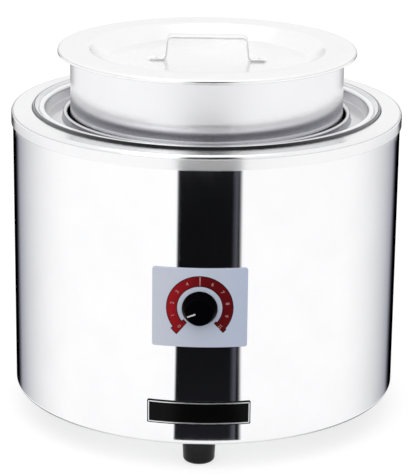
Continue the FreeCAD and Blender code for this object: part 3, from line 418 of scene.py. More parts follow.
class Mixer(Nodes):
    """A material being mixed on Blender's nodes, with lengths in millimetres."""

    DRIFT = 0.004
    STRETCH = 0.008
    CLOUD_REACH = (0.3, 0.7)
    # the mix node's sockets for its share, its two colours and its result
    MIX_INPUTS = (0, 6, 7)
    MIX_OUTPUT = 2

    def __init__(self, name: str) -> None:
        """Starts a material with a principled shader.

        Args:
            name: The material's name.
        """
        self.material = bpy.data.materials.new(name)
        self.material.use_nodes = True
        super().__init__(self.material.node_tree)
        self.tree.nodes.clear()
        self.shader = self.add("BsdfPrincipled")
        self.add("OutputMaterial", {"Surface": self.shader.outputs[0]})

    def place(self) -> Socket:
        """Place on the object in millimetres."""
        where = self.add("TexCoord").outputs["Object"]
        return self.add("VectorMath", {0: where, "Scale": 1 / MM}, operation="SCALE").outputs[0]

    def axes(self) -> tuple[Socket, ...]:
        """Place on the object along X, Y and Z."""
        return tuple(self.add("SeparateXYZ", {0: self.place()}).outputs)

    def lines(self, grain: Grain) -> Socket:
        """Place on the object, drawn out along the way the grain runs.

        Args:
            grain: The way of the grain.

        Returns:
            A vector that changes slowly along the grain.
        """
        if grain is Grain.LOOSE:
            return self.place()
        if grain is Grain.ROUND:
            x, y, z = self.axes()
            drift = self.sum("MULTIPLY", self.sum("ADD", x, y), self.DRIFT)
            return self.add("CombineXYZ", {0: self.radius(), 1: drift, 2: z}).outputs[0]
        stretch = (1.0, 1.0, self.STRETCH) if grain is Grain.UPRIGHT else (self.STRETCH, 1.0, 1.0)
        return self.add("VectorMath", {0: self.place(), 1: stretch}, operation="MULTIPLY").outputs[0]

    def radius(self) -> Socket:
        """Distance from the object's Z axis."""
        x, y, _ = self.axes()
        return self.sum("SQRT", self.sum("ADD", self.sum("MULTIPLY", x, x), self.sum("MULTIPLY", y, y)))

    def around(self) -> Socket:
        """Direction round the object's Z axis."""
        x, y, _ = self.axes()
        way = self.add("CombineXYZ", {0: self.sum("MULTIPLY", y, -1.0), 1: x}).outputs[0]
        return self.add("VectorMath", {0: way}, operation="NORMALIZE").outputs[0]

    def noise(self, where: Socket, size: float, detail: float) -> Socket:
        """Clouds of a size, from 0 to 1."""
        inputs = {"Vector": where, "Scale": 1.0 / size, "Detail": detail}
        return self.add("TexNoise", inputs).outputs[0]

    def span(self, value: Socket, low: float, high: float) -> Socket:
        """Spreads the usual reach of clouds over low to high."""
        return self.ramp(value, *self.CLOUD_REACH, low, high)

    def blend(self, share: object, first: object, second: object, way: str = "MIX") -> Socket:
        """Mixes two colours."""
        node = self.add("Mix", data_type="RGBA", blend_type=way)
        for index, value in zip(self.MIX_INPUTS, (share, first, second)):
            self.feed(node.inputs[index], value)
        return node.outputs[self.MIX_OUTPUT]

    def relief(self, layers: list[tuple[Socket, float]]) -> None:
        """Puts bump on the shader.

        Args:
            layers: Height from 0 to 1, and its depth, one on the other.
        """
        normal = None
        for height, depth in layers:
            node = self.add("Bump", {"Height": height, "Distance": depth * MM, "Strength": 1.0})
            if normal is not None:
                self.feed(node.inputs["Normal"], normal)
            normal = node.outputs[0]
        self.set(Normal=normal)

    def wash(self, colour: object, change: float, cloud: Socket) -> None:
        """Colours the shader, a little darker in the clouds.

        Args:
            colour: The colour, or the socket that gives it.
            change: Share of the colour that the darkest clouds take away.
            cloud: Clouds from 0 to 1.
        """
        level = self.ramp(cloud, 0.0, 1.0, 1.0 - change)
        self.set(Base_Color=self.blend(1.0, colour, level, "MULTIPLY"))

    def set(self, **values: object) -> None:
        """Sets the shader's own sockets; an underscore in a name stands for a space."""
        for key, value in values.items():
            self.feed(self.shader.inputs[key.replace("_", " ")], value)


@dataclass(frozen=True)
class Metal:
    """A bare metal finish: fine lines, faint clouds and the long hollows of rolled sheet."""

    name: str
    colour: Colour
    gloss: Span
    grain: Grain
    line: float = 0.5
    line_detail: float = 3.0
    depth: float = 0.001
    hollow: float = 0.0
    hollow_size: float = 80.0
    change: float = 0.06
    cloud_size: float = 34.0
    cloud_detail: float = 2.0
    cloud_share: float = 0.35
    smear: float = 0.0
    smear_turn: float = 0.25
    # where given, bright steel colour from a radius outwards; inside it the finish's own colour is painted shade
    bright: Colour | None = None
    bright_from: Span = (141.9, 143.4)

    def mix(self) -> bpy.types.Material:
        """Makes the material: lines set roughness and bump, clouds the tint, and an unshaded rim ends any painted
        shade.
        """
        mixer = Mixer(self.name)
        lines = mixer.noise(mixer.lines(self.grain), self.line, self.line_detail)
        cloud = mixer.noise(mixer.place(), self.cloud_size, self.cloud_detail)
        colour = (*self.colour, 1.0)
        if self.bright:
            colour = mixer.blend(mixer.ramp(mixer.radius(), *self.bright_from), colour, (*self.bright, 1.0))
        mixer.wash(colour, self.change, cloud)
        worn = mixer.blend(self.cloud_share, lines, cloud)
        mixer.set(Metallic=1.0, Roughness=mixer.span(worn, *self.gloss))
        if self.smear:
            turn = self.smear_turn if self.grain is Grain.ROUND else 0.0
            mixer.set(Anisotropic=self.smear, Anisotropic_Rotation=turn, Tangent=mixer.around())
        layers = [(lines, self.depth)]
        if self.hollow:
            layers.insert(0, (mixer.noise(mixer.place(), self.hollow_size, 0.0), self.hollow))
        mixer.relief(layers)
        return mixer.material


@dataclass(frozen=True)
class Moulded:
    """A moulded, painted or fired finish: a fine skin over a plain colour."""

    name: str
    colour: Colour
    gloss: Span
    skin: float = 0.6
    detail: float = 3.0
    cloud_size: float = 18.0
    depth: float = 0.004
    change: float = 0.12
    specular: float = 0.5
    fade: Colour | None = None
    reach: Span = (-40.0, 40.0)
    axis: int = 0

    def mix(self) -> bpy.types.Material:
        """Makes the material: skin for bump and roughness, clouds and an axis fade for the colour; the seal's fade is
        painted shade.
        """
        mixer = Mixer(self.name)
        skin = mixer.noise(mixer.place(), self.skin, self.detail)
        colour = (*self.colour, 1.0)
        if self.fade:
            colour = mixer.blend(mixer.ramp(mixer.axes()[self.axis], *self.reach), colour, (*self.fade, 1.0))
        mixer.wash(colour, self.change, mixer.noise(mixer.place(), self.cloud_size * self.skin, self.detail))
        mixer.set(Roughness=mixer.span(skin, *self.gloss), Specular_IOR_Level=self.specular)
        mixer.relief([(skin, self.depth)])
        return mixer.material


@dataclass(frozen=True)
class Wool:
    """Matted mineral fibre."""

    name: str
    colour: Colour
    fibre: float = 1.4
    fibre_details: Span = (6.0, 8.0)
    fibre_depth: float = 0.5
    lump: float = 14.0
    lump_detail: float = 4.0
    lump_depth: float = 2.0
    change: float = 0.35
    roughness: float = 0.95
    sheen: float = 0.4

    def mix(self) -> bpy.types.Material:
        """Makes the material: crossed fibres as drawn-out clouds, over lumps of shade."""
        mixer = Mixer(self.name)
        drawn, loose = self.fibre_details
        along = mixer.noise(mixer.lines(Grain.ROUND), self.fibre, drawn)
        fibres = mixer.blend(0.5, along, mixer.noise(mixer.place(), self.fibre, loose))
        lumps = mixer.noise(mixer.place(), self.lump, self.lump_detail)
        mixer.wash((*self.colour, 1.0), self.change, mixer.span(mixer.blend(0.5, fibres, lumps), 0.0, 1.0))
        mixer.set(Roughness=self.roughness, Sheen_Weight=self.sheen)
        mixer.relief([(lumps, self.lump_depth), (fibres, self.fibre_depth)])
        return mixer.material


Finish = Metal | Moulded | Wool
FINISHES: dict[str, Finish] = {
    "polished_steel": Metal(
        "mirror_body", (0.93, 0.93, 0.94), (0.03, 0.07), Grain.UPRIGHT, line=0.9, depth=0.0004, hollow=0.02
    ),
    "deck_steel": Metal("satin_deck", (0.92, 0.92, 0.93), (0.17, 0.23), Grain.ROUND, smear=0.75),
    # darker than the other steel: painted shade for the well's recess; from radius 143.4 out the flange keeps bright
    # steel
    "well_steel": Metal(
        "pressed_well_painted_shade", (0.66, 0.66, 0.68), (0.12, 0.20), Grain.ROUND, line=0.8, depth=0.003, bright=(0.93, 0.93, 0.94)
    ),
    "pot_steel": Metal("drawn_pot", (0.90, 0.90, 0.92), (0.20, 0.26), Grain.UPRIGHT, line=0.7, smear=0.9),
    # lighter than the other steel: the lid's own satin steel, brightened by a painted highlight for the glare on its
    # top
    "lid_steel": Metal("satin_lid_painted_highlight", (0.97, 0.97, 0.97), (0.20, 0.30), Grain.ROUND, depth=0.0012),
    "plain_steel": Metal("mill_steel", (0.62, 0.63, 0.64), (0.30, 0.48), Grain.ALONG, line=0.8, depth=0.004),
    "zinc_fasteners": Metal("zinc_plate", (0.66, 0.67, 0.68), (0.26, 0.46), Grain.LOOSE, line=1.6, depth=0.004),
    "heater_sheath": Metal("fired_sheath", (0.30, 0.27, 0.24), (0.36, 0.60), Grain.LOOSE, line=2.2, depth=0.01),
    "brass_screws": Metal("brass", (0.78, 0.58, 0.28), (0.22, 0.38), Grain.LOOSE, line=0.9, depth=0.003),
    "copper_bulb": Metal("copper_tube", (0.80, 0.45, 0.32), (0.24, 0.42), Grain.LOOSE, line=1.2, depth=0.003),
    "foot_rubber": Moulded(
        "foot_rubber_black", (0.003, 0.003, 0.004), (0.08, 0.14), skin=0.8, depth=0.002, specular=0.25
    ),
    # near black at the front, fading to grey towards the back: painted shade on the seal's front
    "seal_rubber": Moulded(
        "seal_rubber_painted_front_shade", (0.006, 0.006, 0.007), (0.45, 0.6), skin=0.5, depth=0.010, specular=0.3,
        fade=(0.62, 0.62, 0.63), reach=(-143.0, 50.0), axis=1,
    ),
    "wire_cover": Moulded("wire_cover_grey", (0.20, 0.20, 0.21), (0.45, 0.62), skin=0.5, depth=0.010),
    "mineral_wool": Wool("wool_mat_buff", (0.62, 0.57, 0.42)),
    "knob_plastic": Moulded("knob_black", (0.002, 0.002, 0.003), (0.16, 0.24), skin=0.5, depth=0.002, specular=0.005),
    "pointer_white": Moulded("pointer_ivory", (0.82, 0.82, 0.80), (0.35, 0.50), skin=0.4, depth=0.002, change=0.06),
    "dial_metal": Moulded(
        "dial_silver", (0.77, 0.81, 0.92), (0.34, 0.46), skin=0.5, depth=0.001, change=0.05, specular=0.3,
        fade=(0.63, 0.71, 0.89),
    ),
    "name_metal": Moulded("name_black", (0.003, 0.003, 0.003), (0.20, 0.30), skin=0.4, depth=0.001, specular=0.08),
    "case_plastic": Moulded("case_dark", (0.045, 0.042, 0.040), (0.40, 0.58), skin=0.7, depth=0.010),
    "block_ceramic": Moulded("block_glazed", (0.78, 0.75, 0.68), (0.22, 0.40), skin=1.2, depth=0.010, change=0.10),
    "gland_plastic": Moulded("gland_black", (0.015, 0.015, 0.016), (0.38, 0.54), depth=0.008),
}
DIAL_RED = Moulded(
    "dial_red_ink", (0.46, 0.012, 0.020), (0.32, 0.44), skin=0.5, depth=0.001, change=0.3, specular=0.08,
    fade=(0.17, 0.005, 0.008), reach=(-24.0, 4.0),
)
DIAL_DARK = Moulded("dial_dark_ink", (0.035, 0.006, 0.010), (0.34, 0.46), skin=0.5, depth=0.001, specular=0.15)
DIAL_PALE = Moulded("dial_pale_ink", (0.62, 0.33, 0.33), (0.34, 0.46), skin=0.4, depth=0.001, change=0.06, specular=0.1)
# near-white colour: painted highlight for the glare that washes out the strap
STRAP_PAINTED_GLARE = Metal("strap_painted_glare", (0.99, 0.99, 0.99), (0.38, 0.46), Grain.ALONG, line=0.6, depth=0.0012, change=0.02)
BORDER_SILVER = Metal("border_silver", (0.80, 0.81, 0.83), (0.22, 0.34), Grain.LOOSE, line=0.6)


class Dresser:
    """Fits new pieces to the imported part, and gives every piece and node its finish."""

    def __init__(self) -> None:
        """Starts with no finish mixed."""
        self.mixed: dict[str, bpy.types.Material] = {}

    def material(self, finish: Finish) -> bpy.types.Material:
        """The finish's material, mixed once."""
        if finish.name not in self.mixed:
            self.mixed[finish.name] = finish.mix()
        return self.mixed[finish.name]

    def fit(
        self, name: str, surface: Surface, body: Body, slot: str, nodes: tuple[str, ...] = (),
        finish: Finish | None = None,
    ) -> bpy.types.Object:
        """Makes a surface a piece of the part.

        Args:
            name: The piece's name.
            surface: Its surface.
            body: The body that it rides on.
            slot: The record's material slot.
            nodes: CAD nodes that it stands for.
            finish: Its finish, where that isn't the slot's own.

        Returns:
            The piece.
        """
        piece = surface.thing(name)
        piece.data.materials.append(self.material(finish or FINISHES[slot]))
        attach(piece, body.value)
        if nodes:
            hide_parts(*nodes)
        LOG.info("%s: %d points on %s", name, len(piece.data.vertices), body.value)
        return piece

    def dress_nodes(self) -> None:
        """Gives each CAD node the finish of its slot."""
        for name, node in frame["nodes"].items():
            slot = node.data.materials[0].name
            node.material_slots[0].material = self.material(FINISHES[slot])
            LOG.info("%s: %s", name, FINISHES[slot].name)


@dataclass
class Housing:
    """The standing body: shell, deck, well, feet, cord gland and the wool round the well."""

    shell_outline: Corners = ((134.2, 22.0), (170.2, 22.0), (170.2, 273.9), (156.3, 273.9))
    shell_bends: Row = (3.0, 3.0)
    deck_outline: Corners = ((171.6, 262.0), (171.6, 275.0), (152.9, 275.0), (152.9, 271.5), (145.7, 271.5))
    deck_bends: Row = (3.0, 0.4, 0.5)
    well_outline: Corners = (
        (150.9, 273.5), (148.14, 273.5), (146.76, 275.5), (141.7, 275.5), (141.7, 264.5), (127.3, 264.5),
        (126.05, 271.5), (122.3, 271.5), (122.3, 84.0), (95.8, 84.0), (93.8, 90.0), (84.8, 90.0), (82.8, 84.0),
        (0.0, 84.0),
    )
    well_bends: Row = (0.4, 0.5, 1.5, 0.7, 0.5, 0.5, 1.5, 10.0, 1.0, 1.0, 1.0, 1.0)
    plate: float = 1.0
    seal_outline: Corners = (
        (150.0, 271.5), (152.8, 271.5), (152.8, 277.0), (151.0, 277.0), (151.0, 272.5), (148.14, 272.5),
        (148.14, 271.5), (150.0, 271.5),
    )
    seal_bends: Row = (0.2, 0.8, 0.8, 0.1, 0.1, 0.1)
    band_outline: Corners = (
        (150.4, 273.6), (150.9, 273.6), (150.9, 277.0), (149.9, 277.0), (149.9, 273.6), (150.4, 273.6)
    )
    band_bends: Row = (0.1, 0.4, 0.4, 0.1)
    foot_outline: Corners = (
        (8.5, 0.0), (13.4, 0.0), (14.4, 20.8), (2.3, 20.8), (2.3, 11.0), (4.75, 11.0), (4.75, 0.0), (8.5, 0.0)
    )
    foot_bends: Row = (3.6, 0.6, 0.2, 0.2, 0.2, 0.6)
    foot_circle: float = 147.0
    foot_angles: tuple[tuple[str, float], ...] = (("front", 270.0), ("rear_right", 30.0), ("rear_left", 150.0))
    foot_steps: int = 72
    gland_outline: Corners = (
        (6.0, 161.6), (8.0, 161.6), (8.0, 170.35), (12.0, 170.35), (12.0, 176.3), (8.5, 183.5), (4.5, 183.5),
        (4.5, 161.6), (6.0, 161.6),
    )
    gland_bends: Row = (0.4, 0.2, 0.5, 1.2, 0.8, 0.6, 0.3)
    gland_level: float = 50.0
    gland_steps: int = 96
    wool_radii: Span = (123.9, 141.2)
    wool_levels: Span = (96.3, 257.2)
    wool_opening: float = 64.0
    wool_bend: float = 6.0
    wool_loop: int = 120
    wool_places: int = 181
    wool_lumps: tuple[tuple[int, float], ...] = ((9, 0.06), (23, -0.11), (5, 0.19))
    wool_press: float = 0.05
    wool_waves: tuple[int, float] = (13, 0.004)

    def foot(self, angle: float) -> Surface:
        """One foot on the foot circle at an angle in degrees."""
        turn = math.radians(angle)
        place = (self.foot_circle * math.cos(turn), self.foot_circle * math.sin(turn), 0.0)
        return turned(solid(self.foot_outline, self.foot_bends, closed=True), self.foot_steps).moved(place)

    def gland(self) -> Surface:
        """Cord gland, turned about the way out of the back."""
        surface = turned(solid(self.gland_outline, self.gland_bends, closed=True), self.gland_steps)
        return surface.moved((0.0, 0.0, self.gland_level), lathe_turn((0, 1, 0)))

    def wool(self) -> Surface:
        """Lumpy mat round the well, open at the front.

        Formula: a rounded slab section carried round the axis, pressed in towards its middle by a sum of sines
        of the turn and the height, so that the mat stays inside its space.

        Returns:
            The closed mat.
        """
        (inside, outside), (low, high) = self.wool_radii, self.wool_levels
        middle, half_way = (inside + outside) / 2, (low + high) / 2
        outline = [(middle, low), (outside, low), (outside, high), (inside, high), (inside, low), (middle, low)]
        points, _ = rounded(np.array(outline), np.full(len(outline) - 2, self.wool_bend))
        run = np.concatenate([[0.0], np.cumsum(np.linalg.norm(np.diff(points, axis=0), axis=1))])
        even = np.linspace(0.0, run[-1], self.wool_loop, endpoint=False)
        wide, tall = np.interp(even, run, points[:, 0])[None], np.interp(even, run, points[:, 1])[None]
        gap = math.radians(self.wool_opening) / 2
        angles = np.linspace(-math.pi / 2 + gap, 1.5 * math.pi - gap, self.wool_places)[:, None]
        lumps = sum(np.sin(turns * angles + slant * tall) for turns, slant in self.wool_lumps)
        waves, sink = self.wool_waves
        radius = middle + (wide - middle) * (1.0 - self.wool_press * (lumps + len(self.wool_lumps)))
        level = half_way + (tall - half_way) * (1.0 - sink * (np.sin(waves * angles) + 1.0))
        return carried(np.stack([radius * np.cos(angles), radius * np.sin(angles), level], axis=-1))

    def build(self, dresser: Dresser) -> None:
        """Fits the housing's pieces."""
        kettle = Body.KETTLE
        for name, section, slot, node in (
            ("shell_wall", sheet(self.shell_outline, self.shell_bends, self.plate), "polished_steel", "outer_shell"),
            ("deck_ring", sheet(self.deck_outline, self.deck_bends, self.plate), "deck_steel", "top_cover"),
            ("well_liner", sheet(self.well_outline, self.well_bends, self.plate, True), "well_steel", "well_pan"),
            ("seal_bead", solid(self.seal_outline, self.seal_bends, True), "seal_rubber", "well_seal"),
            ("flange_band", solid(self.band_outline, self.band_bends, True), "well_steel", "seal_band"),
        ):
            dresser.fit(name, turned(section), kettle, slot, (node,))
        for name, angle in self.foot_angles:
            dresser.fit("rubber_foot_" + name, self.foot(angle), kettle, "foot_rubber", ("foot_" + name,))
        dresser.fit("gland_body", self.gland(), kettle, "gland_plastic", ("cord_gland",))
        mat = dresser.fit("wool_mat", self.wool(), kettle, "mineral_wool", ("insulation_blanket",))


@dataclass
class RolledPlate:
    """A flat plate with rounded corners, rolled to the front of the shell."""

    CORNER_STEPS = 6
    RUN_STEPS = 60
    FACE_RINGS = 12

    width: float
    height: float
    corner: float
    level: float
    inside: float = 170.5
    sheet: float = 0.8

    def roll(self, across: np.ndarray, up: np.ndarray, radius: np.ndarray) -> np.ndarray:
        """Lays flat places on the cylinder.

        Formula: the way across, over the plate's inside radius, is the turn from the front.

        Args:
            across: Flat place to the right.
            up: Flat place upwards.
            radius: Distance from the axis.

        Returns:
            The points in space.
        """
        turn = across / self.inside
        spread = np.broadcast_arrays(radius * np.sin(turn), -radius * np.cos(turn), self.level + up)
        return np.stack(spread, axis=-1)

    def inset(self, depth: float) -> np.ndarray:
        """The plate's outline, moved in by a depth.

        Formula: round each corner's centre the way out turns a quarter; along the straight runs the centre moves
        evenly to the next one. A point lies the corner's radius, less the depth, out from its centre.

        Args:
            depth: How far in the outline moves.

        Returns:
            The outline's flat points, all the way round.
        """
        reach, rise = self.width / 2 - self.corner, self.height / 2 - self.corner
        centres = np.array([(reach, rise), (-reach, rise), (-reach, -rise), (reach, -rise)])
        starts = np.arange(4)[:, None] * math.pi / 2
        bend = starts + np.linspace(0.0, math.pi / 2, self.CORNER_STEPS)
        share = np.linspace(0.0, 1.0, self.RUN_STEPS + 2)[None, 1:-1, None]
        between = centres[:, None] * (1.0 - share) + np.roll(centres, -1, axis=0)[:, None] * share
        held = np.repeat(centres[:, None], self.CORNER_STEPS, axis=1)
        straight = np.repeat(starts + math.pi / 2, self.RUN_STEPS, axis=1)
        angles = np.concatenate([bend, straight], axis=1).reshape(-1)
        ways = np.stack([np.cos(angles), np.sin(angles)], axis=-1)
        return np.concatenate([held, between], axis=1).reshape(-1, 2) + ways * (self.corner - depth)

    def insets(self, steps: tuple[Span, ...]) -> np.ndarray:
        """The outline at each step's inset."""
        return np.stack([self.inset(inset) for inset, _ in steps])

    def rings(self, flat: np.ndarray, drops: list[float]) -> Surface:
        """Closed surface of flat rings, each at its drop below the plate's face."""
        radius = (self.inside + self.sheet - np.array(drops))[:, None]
        points = self.roll(flat[..., 0], flat[..., 1], radius)
        return Surface(points.reshape(-1, 3), [grid_faces(*points.shape[:2], True, True)])

    def lathe(self, hole: float, steps: tuple[Span, ...]) -> Surface:
        """Plate as rings from a round hole, or a middle point, out over its edge and back underneath.

        Formula: face rings are shares of the way from the hole to the inset outline; the edge follows steps of
        inset and drop; the back closes at the hole.

        Args:
            hole: Radius of the hole at the middle.
            steps: Inset from the outline and drop below the face, from the face outwards.

        Returns:
            The closed plate.
        """
        inner = unit(self.inset(0.0)) * hole
        edge = self.insets(steps)
        drops = [drop for _, drop in steps]
        share = np.linspace(0.0, 1.0, self.FACE_RINGS, endpoint=False)[:, None, None]
        face = inner * (1.0 - share) + edge[0] * share
        return self.rings(np.concatenate([face, edge, inner[None]]), drops[:1] * len(face) + drops + [self.sheet])


@dataclass
class Control:
    """The dial plate with its print, and the knob."""

    plate: RolledPlate = field(default_factory=lambda: RolledPlate(79.5, 68.5, 2.0, 144.7))
    plate_edge: tuple[Span, ...] = ((0.6, 0.0), (0.3, 0.0), (0.09, 0.09), (0.0, 0.3), (0.0, 0.8))
    hole: float = 5.0
    arc_inside: float = 19.3
    arc_outside: float = 27.2
    arc_end: float = 134.0
    outline: float = 0.7
    block_half: float = 5.6
    block_over: float = 2.2
    band_points: int = 9
    band_least: int = 4
    band_step: float = 1.5
    print_lift: float = 0.03
    top_number: int = 10
    number_height: float = 3.1
    digit_share: float = 0.72
    digit_bold: float = 0.02
    line_half: float = 1.0
    line_inset: float = 0.2
    knob_outline: Corners = (
        (0.0, 8.3), (3.05, 8.3), (3.05, 0.0), (6.0, 0.0), (6.0, 8.0), (9.93, 8.0), (12.5, 0.0), (15.0, 0.0),
        (11.3, 11.42), (0.0, 11.42),
    )
    knob_bends: Row = (0.1, 0.2, 0.3, 0.5, 0.5, 0.3, 0.4, 0.9)
    knob_back: float = -172.0
    knob_steps: int = 144

    def band(self, radii: Span, angles: Span, coat: Coat) -> Surface:
        """Band of print round the knob's axis.

        Formula: a flat section from the inner to the outer radius, carried from the first to the last angle,
        clockwise from the top, and rolled to the plate.

        Args:
            radii: Inner and outer radius.
            angles: First and last angle in degrees.
            coat: The coat of print that its face belongs to.

        Returns:
            The closed band.
        """
        across = np.linspace(*radii, self.band_points)
        section = np.concatenate([across, across[::-1]])
        face = self.plate.inside + self.plate.sheet
        levels = np.repeat([face + coat * self.print_lift, face - self.print_lift], self.band_points)
        count = max(self.band_least, int(abs(angles[1] - angles[0]) / self.band_step))
        turn = np.radians(np.linspace(*angles, count))[:, None]
        return carried(self.plate.roll(section * np.sin(turn), section * np.cos(turn), levels[None]))

    def arc(self, margin: float, coat: Coat) -> Surface:
        """The scale's arc and the wider block at each of its ends, all grown by a margin.

        Args:
            margin: How far they grow.
            coat: The coat of print.

        Returns:
            The three bands.
        """
        lean = math.degrees(margin / self.arc_outside)
        places = (
            (0.0, self.arc_end, 0.0), (-self.arc_end, self.block_half, self.block_over),
            (self.arc_end, self.block_half / 2, self.block_over / 2),
        )
        return joined([
            self.band(
                (self.arc_inside - over - margin, self.arc_outside + over + margin),
                (middle - half - lean, middle + half + lean), coat,
            )
            for middle, half, over in places
        ])

    def number(self, words: str, angle: float) -> Surface:
        """One number of the scale, upright towards the rim, rolled to the plate.

        Args:
            words: The number.
            angle: Its angle in degrees, clockwise from the top.

        Returns:
            The number's surface.
        """
        curve = bpy.data.curves.new("number", "FONT")
        curve.body, curve.size, curve.extrude = words, self.number_height / self.digit_share, self.print_lift / 2
        curve.align_x, curve.align_y = "CENTER", "CENTER"
        curve.offset = self.digit_bold
        word = linked("number", curve)
        mesh = bpy.data.meshes.new_from_object(word.evaluated_get(bpy.context.evaluated_depsgraph_get()))
        flat = np.empty(len(mesh.vertices) * 3)
        mesh.vertices.foreach_get("co", flat)
        flat = flat.reshape(-1, 3)
        flat[:, :2] -= (flat[:, :2].min(axis=0) + flat[:, :2].max(axis=0)) / 2
        mesh.calc_loop_triangles()
        corners = np.empty(len(mesh.loop_triangles) * 3, np.int32)
        mesh.loop_triangles.foreach_get("vertices", corners)
        for data, thing in ((bpy.data.objects, word), (bpy.data.curves, curve), (bpy.data.meshes, mesh)):
            data.remove(thing)
        turn = math.radians(angle)
        along = (self.arc_inside + self.arc_outside) / 2 + flat[:, 1]
        right = along * math.sin(turn) + flat[:, 0] * math.cos(turn)
        up = along * math.cos(turn) - flat[:, 0] * math.sin(turn)
        radius = self.plate.inside + self.plate.sheet + Coat.MARKS * self.print_lift + flat[:, 2]
        return Surface(self.plate.roll(right, up, radius), [corners.reshape(-1, 3)])

    def marks(self) -> Surface:
        """Plain numbers from 0 to 10 with a full line at the middle, as one coat of print."""
        step = 2 * self.arc_end / self.top_number
        shown = [index for index in range(self.top_number + 1) if index != self.top_number // 2]
        numbers = [self.number(str(index), index * step - self.arc_end) for index in shown]
        radii = (self.arc_inside + self.line_inset, self.arc_outside - self.line_inset)
        return joined(numbers + [self.band(radii, (-self.line_half, self.line_half), Coat.MARKS)])

    def build(self, dresser: Dresser) -> None:
        """Fits the dial and the knob."""
        kettle, slot = Body.KETTLE, "dial_metal"
        dresser.fit("dial_face", self.plate.lathe(self.hole, self.plate_edge), kettle, slot, ("dial_plate",))
        dresser.fit("dial_arc_edge", self.arc(self.outline, Coat.EDGE), kettle, slot, finish=DIAL_DARK)
        dresser.fit("dial_arc", self.arc(0.0, Coat.ARC), kettle, slot, finish=DIAL_RED)
        dresser.fit("dial_numbers", self.marks(), kettle, slot, finish=DIAL_PALE)
        knob = turned(solid(self.knob_outline, self.knob_bends), self.knob_steps)
        knob = knob.moved((0.0, self.knob_back, self.plate.level), lathe_turn((0, -1, 0)))
        dresser.fit("knob_cap", knob, Body.CONTROL, "knob_plastic", ("control_knob",))


@dataclass
class NamePlate:
    """The bare black plate with its pale border."""

    plate: RolledPlate = field(default_factory=lambda: RolledPlate(87.5, 20.5, 1.0, 51.4))
    plate_edge: tuple[Span, ...] = ((0.5, 0.0), (0.25, 0.0), (0.07, 0.07), (0.0, 0.25), (0.0, 0.8))
    line: RolledPlate = field(default_factory=lambda: RolledPlate(85.7, 18.7, 1.0, 51.4, sheet=1.1))
    line_width: float = 0.9
    line_depth: float = 0.35
    ease: float = 0.12

    def border(self) -> Surface:
        """Raised line with rounded edges.

        Formula: a section of insets and drops, carried round the line's outline.

        Returns:
            The closed line.
        """
        wide, deep, ease = self.line_width, self.line_depth, self.ease
        steps = ((wide, deep), (wide, ease), (wide - ease, 0.0), (ease, 0.0), (0.0, ease), (0.0, deep))
        return self.line.rings(self.line.insets(steps), [drop for _, drop in steps])

    def build(self, dresser: Dresser) -> None:
        """Fits the plate and its border."""
        face = self.plate.lathe(0.0, self.plate_edge)
        dresser.fit("name_field", face, Body.KETTLE, "name_metal", ("name_plate",))
        dresser.fit("name_border", self.border(), Body.KETTLE, "name_metal", finish=BORDER_SILVER)


